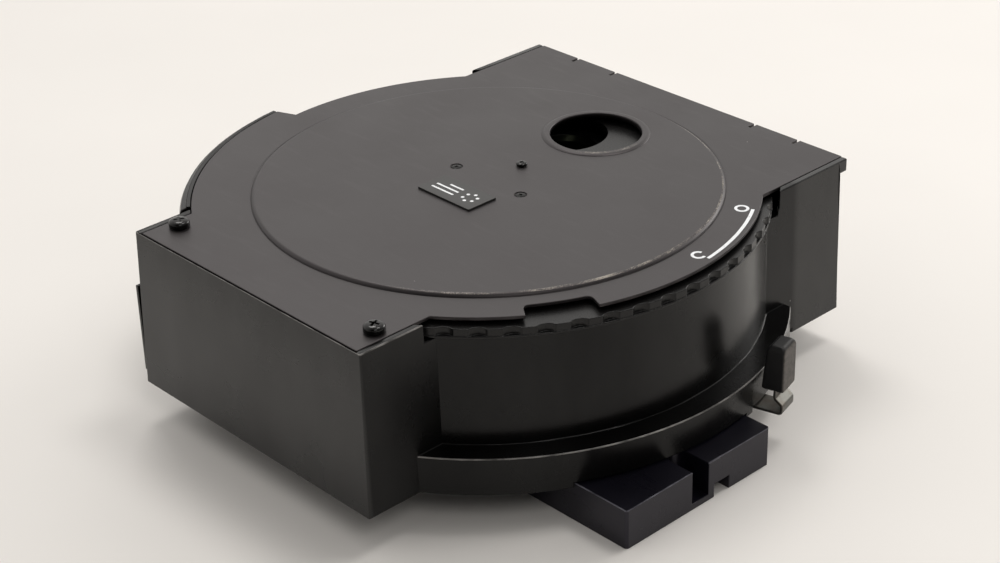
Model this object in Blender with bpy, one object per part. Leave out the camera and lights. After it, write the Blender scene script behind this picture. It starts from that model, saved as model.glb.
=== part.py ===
"""Rotary six-position filter turret for an inverted fluorescence microscope.

The housing is a black casting: a narrow front box, a round drum and a wider rear box.
A scalloped wheel turns on a fixed axle under the top cover and carries six filter cubes.
A hinged door lets the cubes in and out, a shutter lever closes the rear light port, and a
mount block under the floor slides into the microscope's stand.

Dimensions are millimetres. Objects are built in metres, +Z up, with the origin on the
turret's axis at the underside of the mount block.
"""
import math

import bmesh
import bpy
from mathutils import Matrix, Vector

MM = 0.001
GAP = 0.3
MERGE = 3e-6

# Heights above the underside of the mount block
HOUSING_Z = 12.7
FLOOR_Z = HOUSING_Z + 5.2
FLANGE_Z = HOUSING_Z + 13.4
WALL_Z = HOUSING_Z + 51.0
WHEEL_Z = HOUSING_Z + 51.4
WHEEL_TOP_Z = HOUSING_Z + 54.9
COVER_Z = HOUSING_Z + 56.1
TOP_Z = HOUSING_Z + 57.3

# Housing casting, measured at the top; the walls widen by DRAFT down to the floor
DRAFT = 1.4
FRONT_X = -105.1
FRONT_HALF = 57.0
REAR_X = 94.4
REAR_HALF = 75.8
DRUM_R = 94.4
FLANGE_R = 103.8
FLANGE_ENDS = (50.3, 309.7)
BOX_WALL = 4.0
DRUM_WALL = 3.0
EAR_X = 98.5
EAR_DROP = 4.7
REAR_SLOT_DROP = 8.7
WHEEL_ROOM_R = 98.4
JAMB_ANGLES = (94.8, 96.9)
JAMB_R = 103.2
RIM_SLOT_ANGLES = (40.0, 54.0)
FLOOR_PORT_R = 16.0
FLOOR_PORT_RING_R = 13.0

# Top cover, a pressed sheet with a raised disc
COVER_FRONT_X = -104.2
COVER_FRONT_HALF = 54.4
COVER_REAR_X = 98.7
COVER_REAR_HALF = 73.3
COVER_ARC_R = 92.9
COVER_DOOR_R = 100.3
COVER_T = TOP_Z - COVER_Z
DISC_R = 80.4
DISC_RISE = 0.9
LIGHT_HOLE_R = 16.3
LIP_R = 20.0
LIP_RISE = 0.6
THUMB_ANGLES = (-126.2, -111.8)
THUMB_R = 86.4
SLIT_Y = (-54.2, -34.4, 34.4, 54.2)
SLIT_WIDTH = 1.2
SLIT_LENGTH = 3.6
TAB_Y = (35.3, 53.3)
TAB_DROP = 6.5
LABEL_X = (-20.7, -8.1)
LABEL_HALF = 12.7
LABEL_T = 0.4

# Screws: places, and radii of the shanks and heads
COVER_SCREW_X = -92.8
COVER_SCREW_Y = (-49.3, 49.3)
CENTRE_SCREWS = ((15.9, 0.0), (0.0, 15.9), (0.0, -15.9))
FLUSH_SCREWS = CENTRE_SCREWS[1:]
BLOCK_SCREWS = ((-36.0, 44.0), (3.0, 44.0), (-36.0, -62.0), (3.0, -62.0))
COVER_SHANK_R = 1.5
COVER_HEAD_R = 3.5
COVER_HEAD_H = 2.6
CENTRE_SHANK_R = 1.2
CENTRE_HEAD_R = 1.95
CENTRE_HEAD_H = 1.1
FLUSH_HEAD_R = 1.9
FLUSH_HEAD_H = 0.55
BLOCK_SHANK_R = 2.0
BLOCK_HEAD_R = 4.0

# Turret
CUBE_PITCH_R = 52.4
CUBE_COUNT = 6
WHEEL_R = 96.0
WHEEL_HOLE_R = 15.6
SCALLOP_COUNT = 58
SCALLOP_R = 3.9
SCALLOP_DEPTH = 1.4
SCALLOP_FLOOR = 0.9
TURRET_TURN = 15.5
AXLE_R = 6.0
AXLE_FLANGE_R = 20.0
WHEEL_BORE_R = AXLE_R + 2.0
HUB_R = 17.0
HUB_BORE_R = 9.0
BUSH_LENGTH = 10.0
POST_R = 3.5
POST_PITCH_R = 64.0
BASE_Z = HOUSING_Z + 6.6
BASE_T = 2.4
BASE_R = 77.0
NOTCH_DEPTH = 1.8
CUBE_SIZE = (36.0, 34.0, 39.0)
CUBE_WALL = 3.0
CUBE_BORE_R = 12.5
EXCITER_R = 11.2
EXCITER_T = 2.4
DICHROIC_SIZE = (34.0, 26.0, 1.2)

# Loading door on the far side
DOOR_ANGLES = (97.3, 144.2)
DOOR_R = (100.6, 104.4)
DOOR_Z = FLANGE_Z + 0.5
DOOR_PIN = (-87.2, 61.4)
PIN_R = 1.0
KNUCKLE_R = 2.6
KNUCKLE_Z = (HOUSING_Z + 22.0, HOUSING_Z + 30.0)
LEAF_Z = (HOUSING_Z + 4.0, HOUSING_Z + 36.5)
LEAF_PIN_Z = HOUSING_Z + 15.0
LEAF_T = 1.25

# Shutter and its lever
LEVER_ANGLE = -74.6
LEVER_WIDTH = 8.7
SHUTTER_R = (78.0, 90.0)
SHUTTER_ANGLES = (-79.0, 55.0)
SHUTTER_TRAVEL = 24.0
SHUTTER_Z = HOUSING_Z + 1.8
SHUTTER_T = 1.0
BLADE_R = 81.6
BLADE_HALF_ANGLE = 9.5
GUIDE_R = 86.8
GUIDE_ANGLES = (-22.0, 12.0, 51.0)
GUIDE_SHANK_R = 1.4
GUIDE_HEAD_R = 2.8
RIVET_SHANK_R = 0.9
RIVET_HEAD_R = 1.8
RIVET_OFFSETS = (-2.4, 2.4)
CAP_HALF_WIDTH = 4.9
CAP_Z = (HOUSING_Z + 8.9, HOUSING_Z + 26.6)
PORT_Z = HOUSING_Z + 28.8
PORT_R = 12.0

# Mount block
BLOCK_X = (-50.0, 17.0)
BLOCK_Y = (-112.7, 60.0)
BLOCK_TOP = HOUSING_Z + 1.5
BLOCK_SLOT_X = (-20.1, -12.4)
BLOCK_SLOT_LENGTH = 13.0
BLOCK_SLOT_FLOOR = 2.3
BLOCK_KEY_X = (-9.6, -2.6)
BLOCK_KEY_HEIGHT = 4.9
BLOCK_KEY_LENGTH = 30.0

# Detent
ROLLER_R = 5.0
ROLLER_AT = (-(BASE_R + ROLLER_R + 0.25), 0.0)
DETENT_POST = (-90.0, -34.0)
ARM_Z = HOUSING_Z + 10.1
ARM_T = 2.2
STUD_R = 3.0
ROLLER_PIN_R = 1.6


def clear_scene():
    for item in list(bpy.data.objects):
        bpy.data.objects.remove(item, do_unlink=True)


def make_material(name, colour, roughness, metallic):
    material = bpy.data.materials.new(name)
    material.use_nodes = True
    shader = material.node_tree.nodes["Principled BSDF"]
    shader.inputs["Base Color"].default_value = (*colour, 1.0)
    shader.inputs["Roughness"].default_value = roughness
    shader.inputs["Metallic"].default_value = metallic
    return material


def polar(radius, degrees):
    angle = math.radians(degrees)
    return (radius * math.cos(angle), radius * math.sin(angle))


def arc(radius, start, end, step=4.0, centre=(0.0, 0.0)):
    """Points along a round stretch, both ends included."""
    count = max(2, round(abs(end - start) / step)) + 1
    points = []
    for i in range(count):
        x, y = polar(radius, start + (end - start) * i / (count - 1))
        points.append((centre[0] + x, centre[1] + y))
    return points


def circle(radius, steps=32, centre=(0.0, 0.0)):
    first = 0.3 * 360.0 / steps
    return arc(radius, first, first + 360.0, 360.0 / steps, centre)[:-1]


def rectangle(x0, x1, y0, y1):
    return [(x0, y0), (x1, y0), (x1, y1), (x0, y1)]


def ring_sector(inner, outer, start, end, step=4.0):
    return arc(outer, start, end, step) + arc(inner, end, start, step)


def round_corner(before, corner, after, radius, steps=4):
    """Replace a corner by a smooth curve that leaves each side at the given distance."""
    corner = Vector(corner)
    start = corner + (Vector(before) - corner).normalized() * radius
    end = corner + (Vector(after) - corner).normalized() * radius
    points = []
    for i in range(steps + 1):
        t = i / steps
        point = start * (1 - t) ** 2 + corner * 2 * t * (1 - t) + end * t ** 2
        points.append((point.x, point.y))
    return points


def solid(name, shape, material=None):
    """Turn a bmesh in millimetres into an object in metres."""
    bmesh.ops.remove_doubles(shape, verts=shape.verts, dist=1e-5)
    bmesh.ops.recalc_face_normals(shape, faces=shape.faces)
    shape.transform(Matrix.Scale(MM, 4))
    mesh = bpy.data.meshes.new(name)
    shape.to_mesh(mesh)
    shape.free()
    thing = bpy.data.objects.new(name, mesh)
    bpy.context.scene.collection.objects.link(thing)
    if material:
        mesh.materials.append(material)
    return thing


def prism(name, outline, z0, z1, material=None, top_outline=None):
    """An upright solid on an outline, with a second outline at the top where it tapers."""
    shape = bmesh.new()
    low = [shape.verts.new((x, y, z0)) for x, y in outline]
    high = [shape.verts.new((x, y, z1)) for x, y in (top_outline or outline)]
    shape.faces.new(low[::-1])
    shape.faces.new(high)
    for i in range(len(low)):
        j = (i + 1) % len(low)
        shape.faces.new((low[i], low[j], high[j], high[i]))
    return solid(name, shape, material)


def side_prism(name, outline, half_width, angle, material=None):
    """A solid with its outline in the plane of (radius, height), turned to an angle."""
    shape = bmesh.new()
    near = [shape.verts.new((r, -half_width, z)) for r, z in outline]
    far = [shape.verts.new((r, half_width, z)) for r, z in outline]
    shape.faces.new(near)
    shape.faces.new(far[::-1])
    for i in range(len(near)):
        j = (i + 1) % len(near)
        shape.faces.new((near[i], far[i], far[j], near[j]))
    shape.transform(Matrix.Rotation(math.radians(angle), 4, "Z"))
    return solid(name, shape, material)


def turned(name, profile, steps=32, centre=(0.0, 0.0), material=None):
    """A solid of revolution about Z; the profile is a closed list of (radius, height)."""
    shape = bmesh.new()
    rings = []
    for r, z in profile:
        if r == 0.0:
            rings.append([shape.verts.new((centre[0], centre[1], z))])
        else:
            rings.append([shape.verts.new((x, y, z)) for x, y in circle(r, steps, centre)])
    for k, ring in enumerate(rings):
        upper = rings[(k + 1) % len(rings)]
        if len(ring) == 1 and len(upper) == 1:
            continue
        for i in range(steps):
            j = (i + 1) % steps
            corners = [ring[i % len(ring)], ring[j % len(ring)], upper[j % len(upper)], upper[i % len(upper)]]
            shape.faces.new(list(dict.fromkeys(corners)))
    return solid(name, shape, material)


def disc(name, radius, z0, z1, centre=(0.0, 0.0), steps=32, material=None):
    return prism(name, circle(radius, steps, centre), z0, z1, material)


def along_x(thing, at):
    """Turn a solid that was made about Z so that it lies along +X through a point."""
    turn = Matrix.Rotation(math.radians(90.0), 4, "Y")
    place = Matrix.Translation(Vector(at) * MM)
    thing.data.transform(place @ turn)
    return thing


def combine(thing, other, operation):
    """Join or cut with an exact Boolean, keep the result and drop the other solid."""
    modifier = thing.modifiers.new(operation.lower(), "BOOLEAN")
    modifier.operation = operation
    modifier.solver = "EXACT"
    modifier.object = other
    result = bpy.data.meshes.new_from_object(thing.evaluated_get(bpy.context.evaluated_depsgraph_get()))
    thing.modifiers.clear()
    thing.data = result
    bpy.data.objects.remove(other, do_unlink=True)
    shape = bmesh.new()
    shape.from_mesh(result)
    bmesh.ops.remove_doubles(shape, verts=shape.verts, dist=MERGE)
    bmesh.ops.dissolve_degenerate(shape, edges=shape.edges, dist=MERGE)
    shape.to_mesh(result)
    shape.free()
    return thing


def cut(thing, *cutters):
    for cutter in cutters:
        combine(thing, cutter, "DIFFERENCE")
    return thing


def join(thing, *others):
    for other in others:
        combine(thing, other, "UNION")
    return thing


def smooth(thing, degrees=28.0):
    thing.data.shade_smooth()
    thing.data.set_sharp_from_angle(angle=math.radians(degrees))


def parent_all(things, empty):
    for thing in things:
        thing.parent = empty
        thing.matrix_parent_inverse = Matrix.Identity(4)


def cover_outline(grow=0.0):
    """Plan of the top cover, counter-clockwise from its front near corner."""
    front_x = COVER_FRONT_X - grow
    front_half = COVER_FRONT_HALF + grow
    rear_half = COVER_REAR_HALF + grow
    rear_x = COVER_REAR_X + grow
    arc_r = COVER_ARC_R + grow
    door_r = COVER_DOOR_R + grow
    near_start = -180.0 + math.degrees(math.asin(front_half / arc_r))
    near_end = -math.degrees(math.asin(rear_half / arc_r))
    points = [(front_x, -front_half)]
    points += arc(arc_r, near_start, near_end)
    points += [(rear_x, -rear_half), (rear_x, rear_half)]
    points += arc(arc_r, -near_end, 96.0)
    points += arc(door_r, 97.2, 180.0 - math.degrees(math.asin(front_half / door_r)))
    points += [(front_x, front_half)]
    return points


def thumb_outline():
    """Plan of the thumb notch, with rounded inner corners."""
    start, end = THUMB_ANGLES
    outside = COVER_ARC_R + 5.0
    floor = arc(THUMB_R, start, end)
    first = round_corner(polar(outside, start), floor[0], floor[1], 2.2)
    last = round_corner(floor[-2], floor[-1], polar(outside, end), 2.2)
    return [polar(outside, start)] + first + floor[1:-1] + last + [polar(outside, end)]


def make_housing(paint):
    def box(name, x0, x1, half, z0, z1):
        grow_x0 = DRAFT if x0 < 0 else 0.0
        grow_x1 = DRAFT if x1 > 0 else 0.0
        wide = half + DRAFT
        low = rectangle(x0 - grow_x0, x1 + grow_x1, -wide, wide)
        high = rectangle(x0, x1, -half, half)
        return prism(name, low, z0, z1, paint, high)

    drum = turned(
        "housing_shell",
        [(0.0, HOUSING_Z), (DRUM_R + DRAFT, HOUSING_Z), (DRUM_R, WALL_Z), (0.0, WALL_Z)],
        steps=90,
        material=paint,
    )
    flange = prism("flange", arc(FLANGE_R, *FLANGE_ENDS), HOUSING_Z, FLANGE_Z, paint)
    front = box("front", FRONT_X, -55.0, FRONT_HALF, HOUSING_Z, TOP_Z)
    rear = box("rear", 50.0, REAR_X, REAR_HALF, HOUSING_Z, TOP_Z)
    jamb = prism("jamb", ring_sector(DRUM_R - 2.0, JAMB_R, *JAMB_ANGLES, 1.0), HOUSING_Z + 1.0, WALL_Z, paint)
    join(drum, flange, front, rear, jamb)
    for side in (-1.0, 1.0):
        edges = sorted((side * (COVER_REAR_HALF + GAP), side * REAR_HALF))
        ear = rectangle(REAR_X - 3.0, EAR_X, edges[0], edges[1])
        join(drum, prism("ear", ear, TOP_Z - EAR_DROP, TOP_Z, paint))

    # Room inside: the drum and both boxes, open at the top
    above = TOP_Z + 5.0
    wall = BOX_WALL
    room = disc("room", DRUM_R - DRUM_WALL, FLOOR_Z, above, steps=90)
    front_room = rectangle(FRONT_X + wall, -40.0, -FRONT_HALF + wall, FRONT_HALF - wall)
    rear_room = rectangle(40.0, REAR_X - wall, -REAR_HALF + wall, REAR_HALF - wall)
    cut(drum, room)
    cut(drum, prism("front_room", front_room, FLOOR_Z, above))
    cut(drum, prism("rear_room", rear_room, FLOOR_Z, above))
    # Seat of the cover, and the space that the wheel's rim turns in
    cut(drum, prism("cover_seat", cover_outline(GAP), COVER_Z - GAP, above))
    cut(drum, disc("wheel_room", WHEEL_ROOM_R, WALL_Z, above, steps=96))
    for side in (-1.0, 1.0):
        start, end = sorted(side * angle for angle in RIM_SLOT_ANGLES)
        slot = ring_sector(DRUM_R + 0.4, WHEEL_ROOM_R - 0.5, start, end, 2.0)
        cut(drum, prism("rim_slot", slot, TOP_Z - REAR_SLOT_DROP, above))
    # Way in for the filter cubes, behind the door
    loading = ring_sector(DRUM_R - 8.0, DRUM_R + 4.0, 101.0, 139.0)
    cut(drum, prism("loading", loading, FLANGE_Z + 0.6, above))
    # Light paths: floor below the cube in use, and the rear wall
    cut(drum, disc("floor_port", FLOOR_PORT_R, 0.0, above, (CUBE_PITCH_R, 0.0)))
    rear_port = disc("rear_port", PORT_R + 3.0, -10.0, 10.0)
    cut(drum, along_x(rear_port, (REAR_X, 0.0, PORT_Z)))
    # Axle socket and screw holes
    cut(drum, disc("axle_socket", AXLE_R + GAP, HOUSING_Z + 2.4, above))
    for x, y in BLOCK_SCREWS:
        cut(drum, disc("block_screw_hole", BLOCK_SHANK_R + GAP, HOUSING_Z - 1.0, above, (x, y), 24))
        cut(drum, disc("block_screw_head", BLOCK_HEAD_R + GAP, FLOOR_Z - 2.4, above, (x, y), 24))
    for y in COVER_SCREW_Y:
        centre = (COVER_SCREW_X, y)
        cut(drum, disc("cover_screw_hole", COVER_SHANK_R + GAP, TOP_Z - 11.0, above, centre, 24))
    # Underside: recess for the mount block, and the shutter's pocket with its slot
    recess = rectangle(BLOCK_X[0] - GAP, BLOCK_X[1] + GAP, -125.0, BLOCK_Y[1] + GAP)
    cut(drum, prism("block_recess", recess, 0.0, BLOCK_TOP + GAP))
    start, end = SHUTTER_ANGLES
    pocket = ring_sector(SHUTTER_R[0] - 0.6, SHUTTER_R[1] + 0.6, start - 1.5, end + SHUTTER_TRAVEL + 1.5)
    cut(drum, prism("shutter_pocket", pocket, 0.0, SHUTTER_Z + SHUTTER_T + 0.4))
    reach = math.degrees(0.5 * LEVER_WIDTH / FLANGE_R)
    lever_way = ring_sector(
        SHUTTER_R[0] + 2.0,
        FLANGE_R + 5.0,
        LEVER_ANGLE - reach - 0.9,
        LEVER_ANGLE + SHUTTER_TRAVEL + reach + 0.9,
    )
    cut(drum, prism("lever_way", lever_way, 0.0, SHUTTER_Z + 0.1))
    blade_slot = ring_sector(
        BLADE_R - 0.8,
        BLADE_R + SHUTTER_T + 0.8,
        -BLADE_HALF_ANGLE - 1.0,
        BLADE_HALF_ANGLE + SHUTTER_TRAVEL + 1.0,
    )
    cut(drum, prism("blade_slot", blade_slot, HOUSING_Z, FLOOR_Z + 1.0))
    for angle in GUIDE_ANGLES:
        centre = polar(GUIDE_R, angle)
        cut(drum, disc("guide_hole", GUIDE_SHANK_R + GAP, HOUSING_Z, FLOOR_Z - 0.6, centre, 20))
    smooth(drum)
    return drum


def make_cover(paint):
    """Pressed cover: raised disc, lip of the light hole, thumb notch, slits, tabs and screw holes."""
    cover = prism("top_cover", cover_outline(), COVER_Z, TOP_Z, paint)
    disc_top = TOP_Z + DISC_RISE
    disc_profile = [
        (0.0, TOP_Z - 0.5),
        (DISC_R, TOP_Z - 0.5),
        (DISC_R, TOP_Z + 0.03),
        (DISC_R - 0.45, TOP_Z + 0.6 * DISC_RISE),
        (DISC_R - 1.0, disc_top),
        (0.0, disc_top),
    ]
    boss = turned("disc", disc_profile, 90)
    under = disc("under", DISC_R - 1.3, COVER_Z - 1.0, COVER_Z + DISC_RISE, steps=72)
    join(cover, boss)
    cut(cover, under)
    lip_profile = [
        (LIGHT_HOLE_R - 1.0, disc_top - 0.6),
        (LIP_R, disc_top - 0.6),
        (LIP_R, disc_top + 0.03),
        (LIP_R - 1.0, disc_top + 0.1),
        (LIP_R - 2.0, disc_top + 0.7 * LIP_RISE),
        (LIP_R - 2.8, disc_top + LIP_RISE),
        (LIGHT_HOLE_R - 1.0, disc_top + LIP_RISE),
    ]
    join(cover, turned("lip", lip_profile, 40, (CUBE_PITCH_R, 0.0)))
    cut(cover, disc("light_hole", LIGHT_HOLE_R, COVER_Z - 2.0, TOP_Z + 4.0, (CUBE_PITCH_R, 0.0), 40))
    cut(cover, prism("thumb_notch", thumb_outline(), COVER_Z - 2.0, TOP_Z + 2.0))
    for y in SLIT_Y:
        half = 0.5 * SLIT_WIDTH
        slit = rectangle(COVER_REAR_X - SLIT_LENGTH, COVER_REAR_X + 2.0, y - half, y + half)
        cut(cover, prism("relief_slit", slit, COVER_Z - 2.0, TOP_Z + 2.0))
    for side in (-1.0, 1.0):
        edges = sorted((side * TAB_Y[0], side * TAB_Y[1]))
        tab = rectangle(COVER_REAR_X - COVER_T, COVER_REAR_X, edges[0], edges[1])
        join(cover, prism("tab", tab, TOP_Z - TAB_DROP, TOP_Z - 0.2))
    for y in COVER_SCREW_Y:
        centre = (COVER_SCREW_X, y)
        cut(cover, disc("screw_hole", COVER_SHANK_R + GAP, COVER_Z - 2.0, TOP_Z + 2.0, centre, 24))
    for x, y in CENTRE_SCREWS:
        cut(cover, disc("screw_hole", CENTRE_SHANK_R + GAP, COVER_Z - 2.0, TOP_Z + 3.0, (x, y), 20))
    for x, y in FLUSH_SCREWS:
        cut(cover, disc("screw_seat", FLUSH_HEAD_R + GAP, disc_top - 0.8, TOP_Z + 3.0, (x, y), 20))
    smooth(cover)
    return cover


def make_mount_block(finish):
    """Block that slides into the stand, with a clamp slot and a key groove in its near end."""
    x0, x1 = BLOCK_X
    y0, y1 = BLOCK_Y
    chamfer = 0.8
    outline = [
        (x0 + chamfer, y0),
        (x1 - chamfer, y0),
        (x1, y0 + chamfer),
        (x1, y1),
        (x0, y1),
        (x0, y0 + chamfer),
    ]
    block = prism("mount_block", outline, 0.0, BLOCK_TOP, finish)
    s0, s1 = BLOCK_SLOT_X
    half = 0.5 * (s1 - s0)
    middle = 0.5 * (s0 + s1)
    inner = y0 + BLOCK_SLOT_LENGTH - half
    slot = [(s0, y0 - 2.0), (s1, y0 - 2.0)] + arc(half, 0.0, 180.0, 15.0, (middle, inner))
    cut(block, prism("clamp_slot", slot, BLOCK_SLOT_FLOOR, BLOCK_TOP + 2.0))
    key = rectangle(BLOCK_KEY_X[0], BLOCK_KEY_X[1], y0 - 2.0, y0 + BLOCK_KEY_LENGTH)
    cut(block, prism("key_groove", key, -2.0, BLOCK_KEY_HEIGHT))
    for x, y in BLOCK_SCREWS:
        cut(block, disc("screw_hole", BLOCK_SHANK_R + GAP, BLOCK_TOP - 9.0, BLOCK_TOP + 2.0, (x, y), 24))
    smooth(block)
    return block


def cross_recess(head_z, depth, size, centre):
    """Cutter for a cross recess in a screw head."""
    arms = prism("cross", rectangle(-size, size, -0.22 * size, 0.22 * size), head_z - depth, head_z + 1.0)
    join(arms, prism("arm", rectangle(-0.22 * size, 0.22 * size, -size, size), head_z - depth, head_z + 1.0))
    arms.data.transform(Matrix.Rotation(math.radians(25.0), 4, "Z"))
    arms.data.transform(Matrix.Translation(Vector((centre[0], centre[1], 0.0)) * MM))
    return arms


def make_screw(name, centre, head_z, head_r, head_h, shank_r, shank_length, metal):
    """A cross-head screw with its shank down; the head's underside is at head_z."""
    top = head_z + head_h
    profile = [
        (0.0, head_z - shank_length),
        (shank_r, head_z - shank_length),
        (shank_r, head_z),
        (head_r, head_z),
        (head_r, head_z + 0.65 * head_h),
        (0.8 * head_r, head_z + 0.93 * head_h),
        (0.4 * head_r, top),
        (0.0, top),
    ]
    screw = turned(name, profile, 20, centre, metal)
    cut(screw, cross_recess(top, 0.55 * head_h, 0.55 * head_r, centre))
    smooth(screw, 35.0)


def make_fasteners(steel, black_steel):
    for name, y in zip(("cover_screw_near", "cover_screw_far"), COVER_SCREW_Y):
        make_screw(
            name,
            (COVER_SCREW_X, y),
            TOP_Z + GAP,
            COVER_HEAD_R,
            COVER_HEAD_H,
            COVER_SHANK_R,
            9.0,
            black_steel,
        )
    disc_top = TOP_Z + DISC_RISE
    make_screw(
        "centre_screw_1",
        CENTRE_SCREWS[0],
        disc_top + GAP,
        CENTRE_HEAD_R,
        CENTRE_HEAD_H,
        CENTRE_SHANK_R,
        3.0,
        steel,
    )
    for number, centre in enumerate(FLUSH_SCREWS, start=2):
        name = f"centre_screw_{number}"
        make_screw(name, centre, disc_top - 0.6, FLUSH_HEAD_R, FLUSH_HEAD_H, CENTRE_SHANK_R, 2.0, black_steel)
    for number, centre in enumerate(BLOCK_SCREWS, start=1):
        screw = disc(f"block_screw_{number}", BLOCK_HEAD_R, FLOOR_Z - 2.1, FLOOR_Z - 0.1, centre, 24, steel)
        join(screw, disc("shank", BLOCK_SHANK_R, BLOCK_TOP - 8.0, FLOOR_Z - 2.0, centre, 24))
        smooth(screw, 35.0)


def make_axle(steel):
    """A fixed axle: the flange at its top is screwed up against the cover's disc."""
    flange_z = WHEEL_TOP_Z + 0.4
    flange_top = COVER_Z + DISC_RISE - GAP
    profile = [
        (0.0, HOUSING_Z + 2.8),
        (AXLE_R, HOUSING_Z + 2.8),
        (AXLE_R, flange_z),
        (AXLE_FLANGE_R, flange_z),
        (AXLE_FLANGE_R, flange_top),
        (0.0, flange_top),
    ]
    axle = turned("turret_axle", profile, 32, material=steel)
    for x, y in CENTRE_SCREWS:
        cut(axle, disc("tapped_hole", CENTRE_SHANK_R + GAP, flange_z - 1.0, flange_top + 1.0, (x, y), 20))
    smooth(axle, 35.0)


def make_label(metal):
    plate = rectangle(*LABEL_X, -LABEL_HALF, LABEL_HALF)
    base = TOP_Z + DISC_RISE + GAP
    prism("label_plate", plate, base, base + LABEL_T, metal)


def make_wheel(anodised):
    """The scalloped wheel: plain below, scalloped above the scallops' floor."""
    pitch = 360.0 / SCALLOP_COUNT
    centre_r = WHEEL_R + SCALLOP_R - SCALLOP_DEPTH
    plain_r = WHEEL_R - 0.04

    def edge_radius(angle):
        offset = math.radians((angle + 0.5 * pitch) % pitch - 0.5 * pitch)
        sideways = centre_r * math.sin(offset)
        if abs(sideways) >= SCALLOP_R:
            return plain_r
        inward = centre_r * math.cos(offset) - math.sqrt(SCALLOP_R ** 2 - sideways ** 2)
        return min(plain_r, inward)

    reach = (WHEEL_R ** 2 + centre_r ** 2 - SCALLOP_R ** 2) / (2 * WHEEL_R * centre_r)
    half_width = math.degrees(math.acos(reach))
    steps = (-1.0, -0.7, 0.0, 0.7, 1.0)
    angles = [k * pitch + s * half_width for k in range(SCALLOP_COUNT) for s in steps]
    shape = bmesh.new()
    floor_z = WHEEL_Z + SCALLOP_FLOOR
    rings = (
        [polar(WHEEL_R, a) + (WHEEL_Z,) for a in angles],
        [polar(WHEEL_R, a) + (floor_z,) for a in angles],
        [polar(edge_radius(a), a) + (floor_z,) for a in angles],
        [polar(edge_radius(a), a) + (WHEEL_TOP_Z,) for a in angles],
    )
    loops = [[shape.verts.new(p) for p in ring] for ring in rings]
    for low, high in zip(loops, loops[1:]):
        for i in range(len(low)):
            j = (i + 1) % len(low)
            shape.faces.new((low[i], low[j], high[j], high[i]))
    shape.faces.new(loops[0][::-1])
    shape.faces.new(loops[-1])
    wheel = solid("turret_wheel", shape, anodised)
    cut(wheel, disc("wheel_bore", WHEEL_BORE_R, WHEEL_Z - 1.0, WHEEL_TOP_Z + 1.0))
    for k in range(CUBE_COUNT):
        centre = polar(CUBE_PITCH_R, 360.0 * k / CUBE_COUNT)
        cut(wheel, disc("wheel_hole", WHEEL_HOLE_R, WHEEL_Z - 1.0, WHEEL_TOP_Z + 1.0, centre))
    smooth(wheel)
    return wheel


def make_turret_frame(anodised, brass, steel):
    """Hub, bushes, base plate with its six detent notches, and three posts."""
    hub_z = BASE_Z + BASE_T + GAP
    hub_top = WHEEL_Z - GAP
    hub_profile = [(HUB_BORE_R, hub_z), (HUB_R, hub_z), (HUB_R, hub_top), (HUB_BORE_R, hub_top)]
    hub = turned("turret_hub", hub_profile, 32, material=anodised)
    smooth(hub)
    parts = [hub]
    inner = AXLE_R + GAP
    outer = HUB_BORE_R - GAP
    for name, z0 in (("lower_bush", hub_z + 1.0), ("upper_bush", hub_top - 1.0 - BUSH_LENGTH)):
        z1 = z0 + BUSH_LENGTH
        bush = turned(name, [(inner, z0), (outer, z0), (outer, z1), (inner, z1)], 36, material=brass)
        smooth(bush)
        parts.append(bush)
    base = disc("turret_base", BASE_R, BASE_Z, BASE_Z + BASE_T, steps=72, material=anodised)
    below = BASE_Z - 1.0
    above = BASE_Z + BASE_T + 1.0
    cut(base, disc("base_bore", WHEEL_BORE_R, below, above))
    for k in range(CUBE_COUNT):
        angle = 360.0 * k / CUBE_COUNT
        cut(base, disc("base_hole", CUBE_BORE_R, below, above, polar(CUBE_PITCH_R, angle)))
        notch_at = polar(BASE_R + ROLLER_R - NOTCH_DEPTH, angle + 180.0)
        cut(base, disc("notch", ROLLER_R, below, above, notch_at))
    smooth(base)
    parts.append(base)
    for k in range(3):
        centre = polar(POST_PITCH_R, 30.0 + 120.0 * k)
        post = disc(f"turret_post_{k + 1}", POST_R, hub_z, hub_top, centre, 24, steel)
        smooth(post)
        parts.append(post)
    return parts


def make_cube(number, anodised, filter_glass, mirror_glass):
    """One filter cube with its exciter filter and its tilted dichroic mirror."""
    length, width, height = CUBE_SIZE
    z0 = BASE_Z + BASE_T + GAP
    z1 = z0 + height
    x0 = CUBE_PITCH_R - 0.5 * length
    x1 = CUBE_PITCH_R + 0.5 * length
    wall = CUBE_WALL
    middle_z = 0.5 * (z0 + z1)
    cube = prism(f"filter_cube_{number}", rectangle(x0, x1, -0.5 * width, 0.5 * width), z0, z1, anodised)
    inside = rectangle(x0 + wall, x1 - wall, -0.5 * width + wall, 0.5 * width - wall)
    cut(cube, prism("inside", inside, z0 + wall, z1 - wall))
    cut(cube, disc("light_way", CUBE_BORE_R, z0 - 1.0, z1 + 1.0, (CUBE_PITCH_R, 0.0), 32))
    window = disc("window", EXCITER_R + GAP, -3.0, 3.0, steps=32)
    cut(cube, along_x(window, (x1, 0.0, middle_z)))
    half_t = 0.5 * EXCITER_T
    exciter = disc(f"exciter_filter_{number}", EXCITER_R, -half_t, half_t, steps=32, material=filter_glass)
    along_x(exciter, (x1 - 0.5 * wall, 0.0, middle_z))
    a, b, c = (0.5 * size for size in DICHROIC_SIZE)
    dichroic = prism(f"dichroic_{number}", rectangle(-a, a, -b, b), -c, c, mirror_glass)
    tilt = Matrix.Rotation(math.radians(45.0), 4, "Y")
    dichroic.data.transform(Matrix.Translation(Vector((CUBE_PITCH_R, 0.0, middle_z)) * MM) @ tilt)
    smooth(cube)
    smooth(exciter)
    parts = [cube, exciter, dichroic]
    turn = Matrix.Rotation(math.radians(360.0 * (number - 1) / CUBE_COUNT), 4, "Z")
    for part in parts:
        part.data.transform(turn)
    return parts


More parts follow.
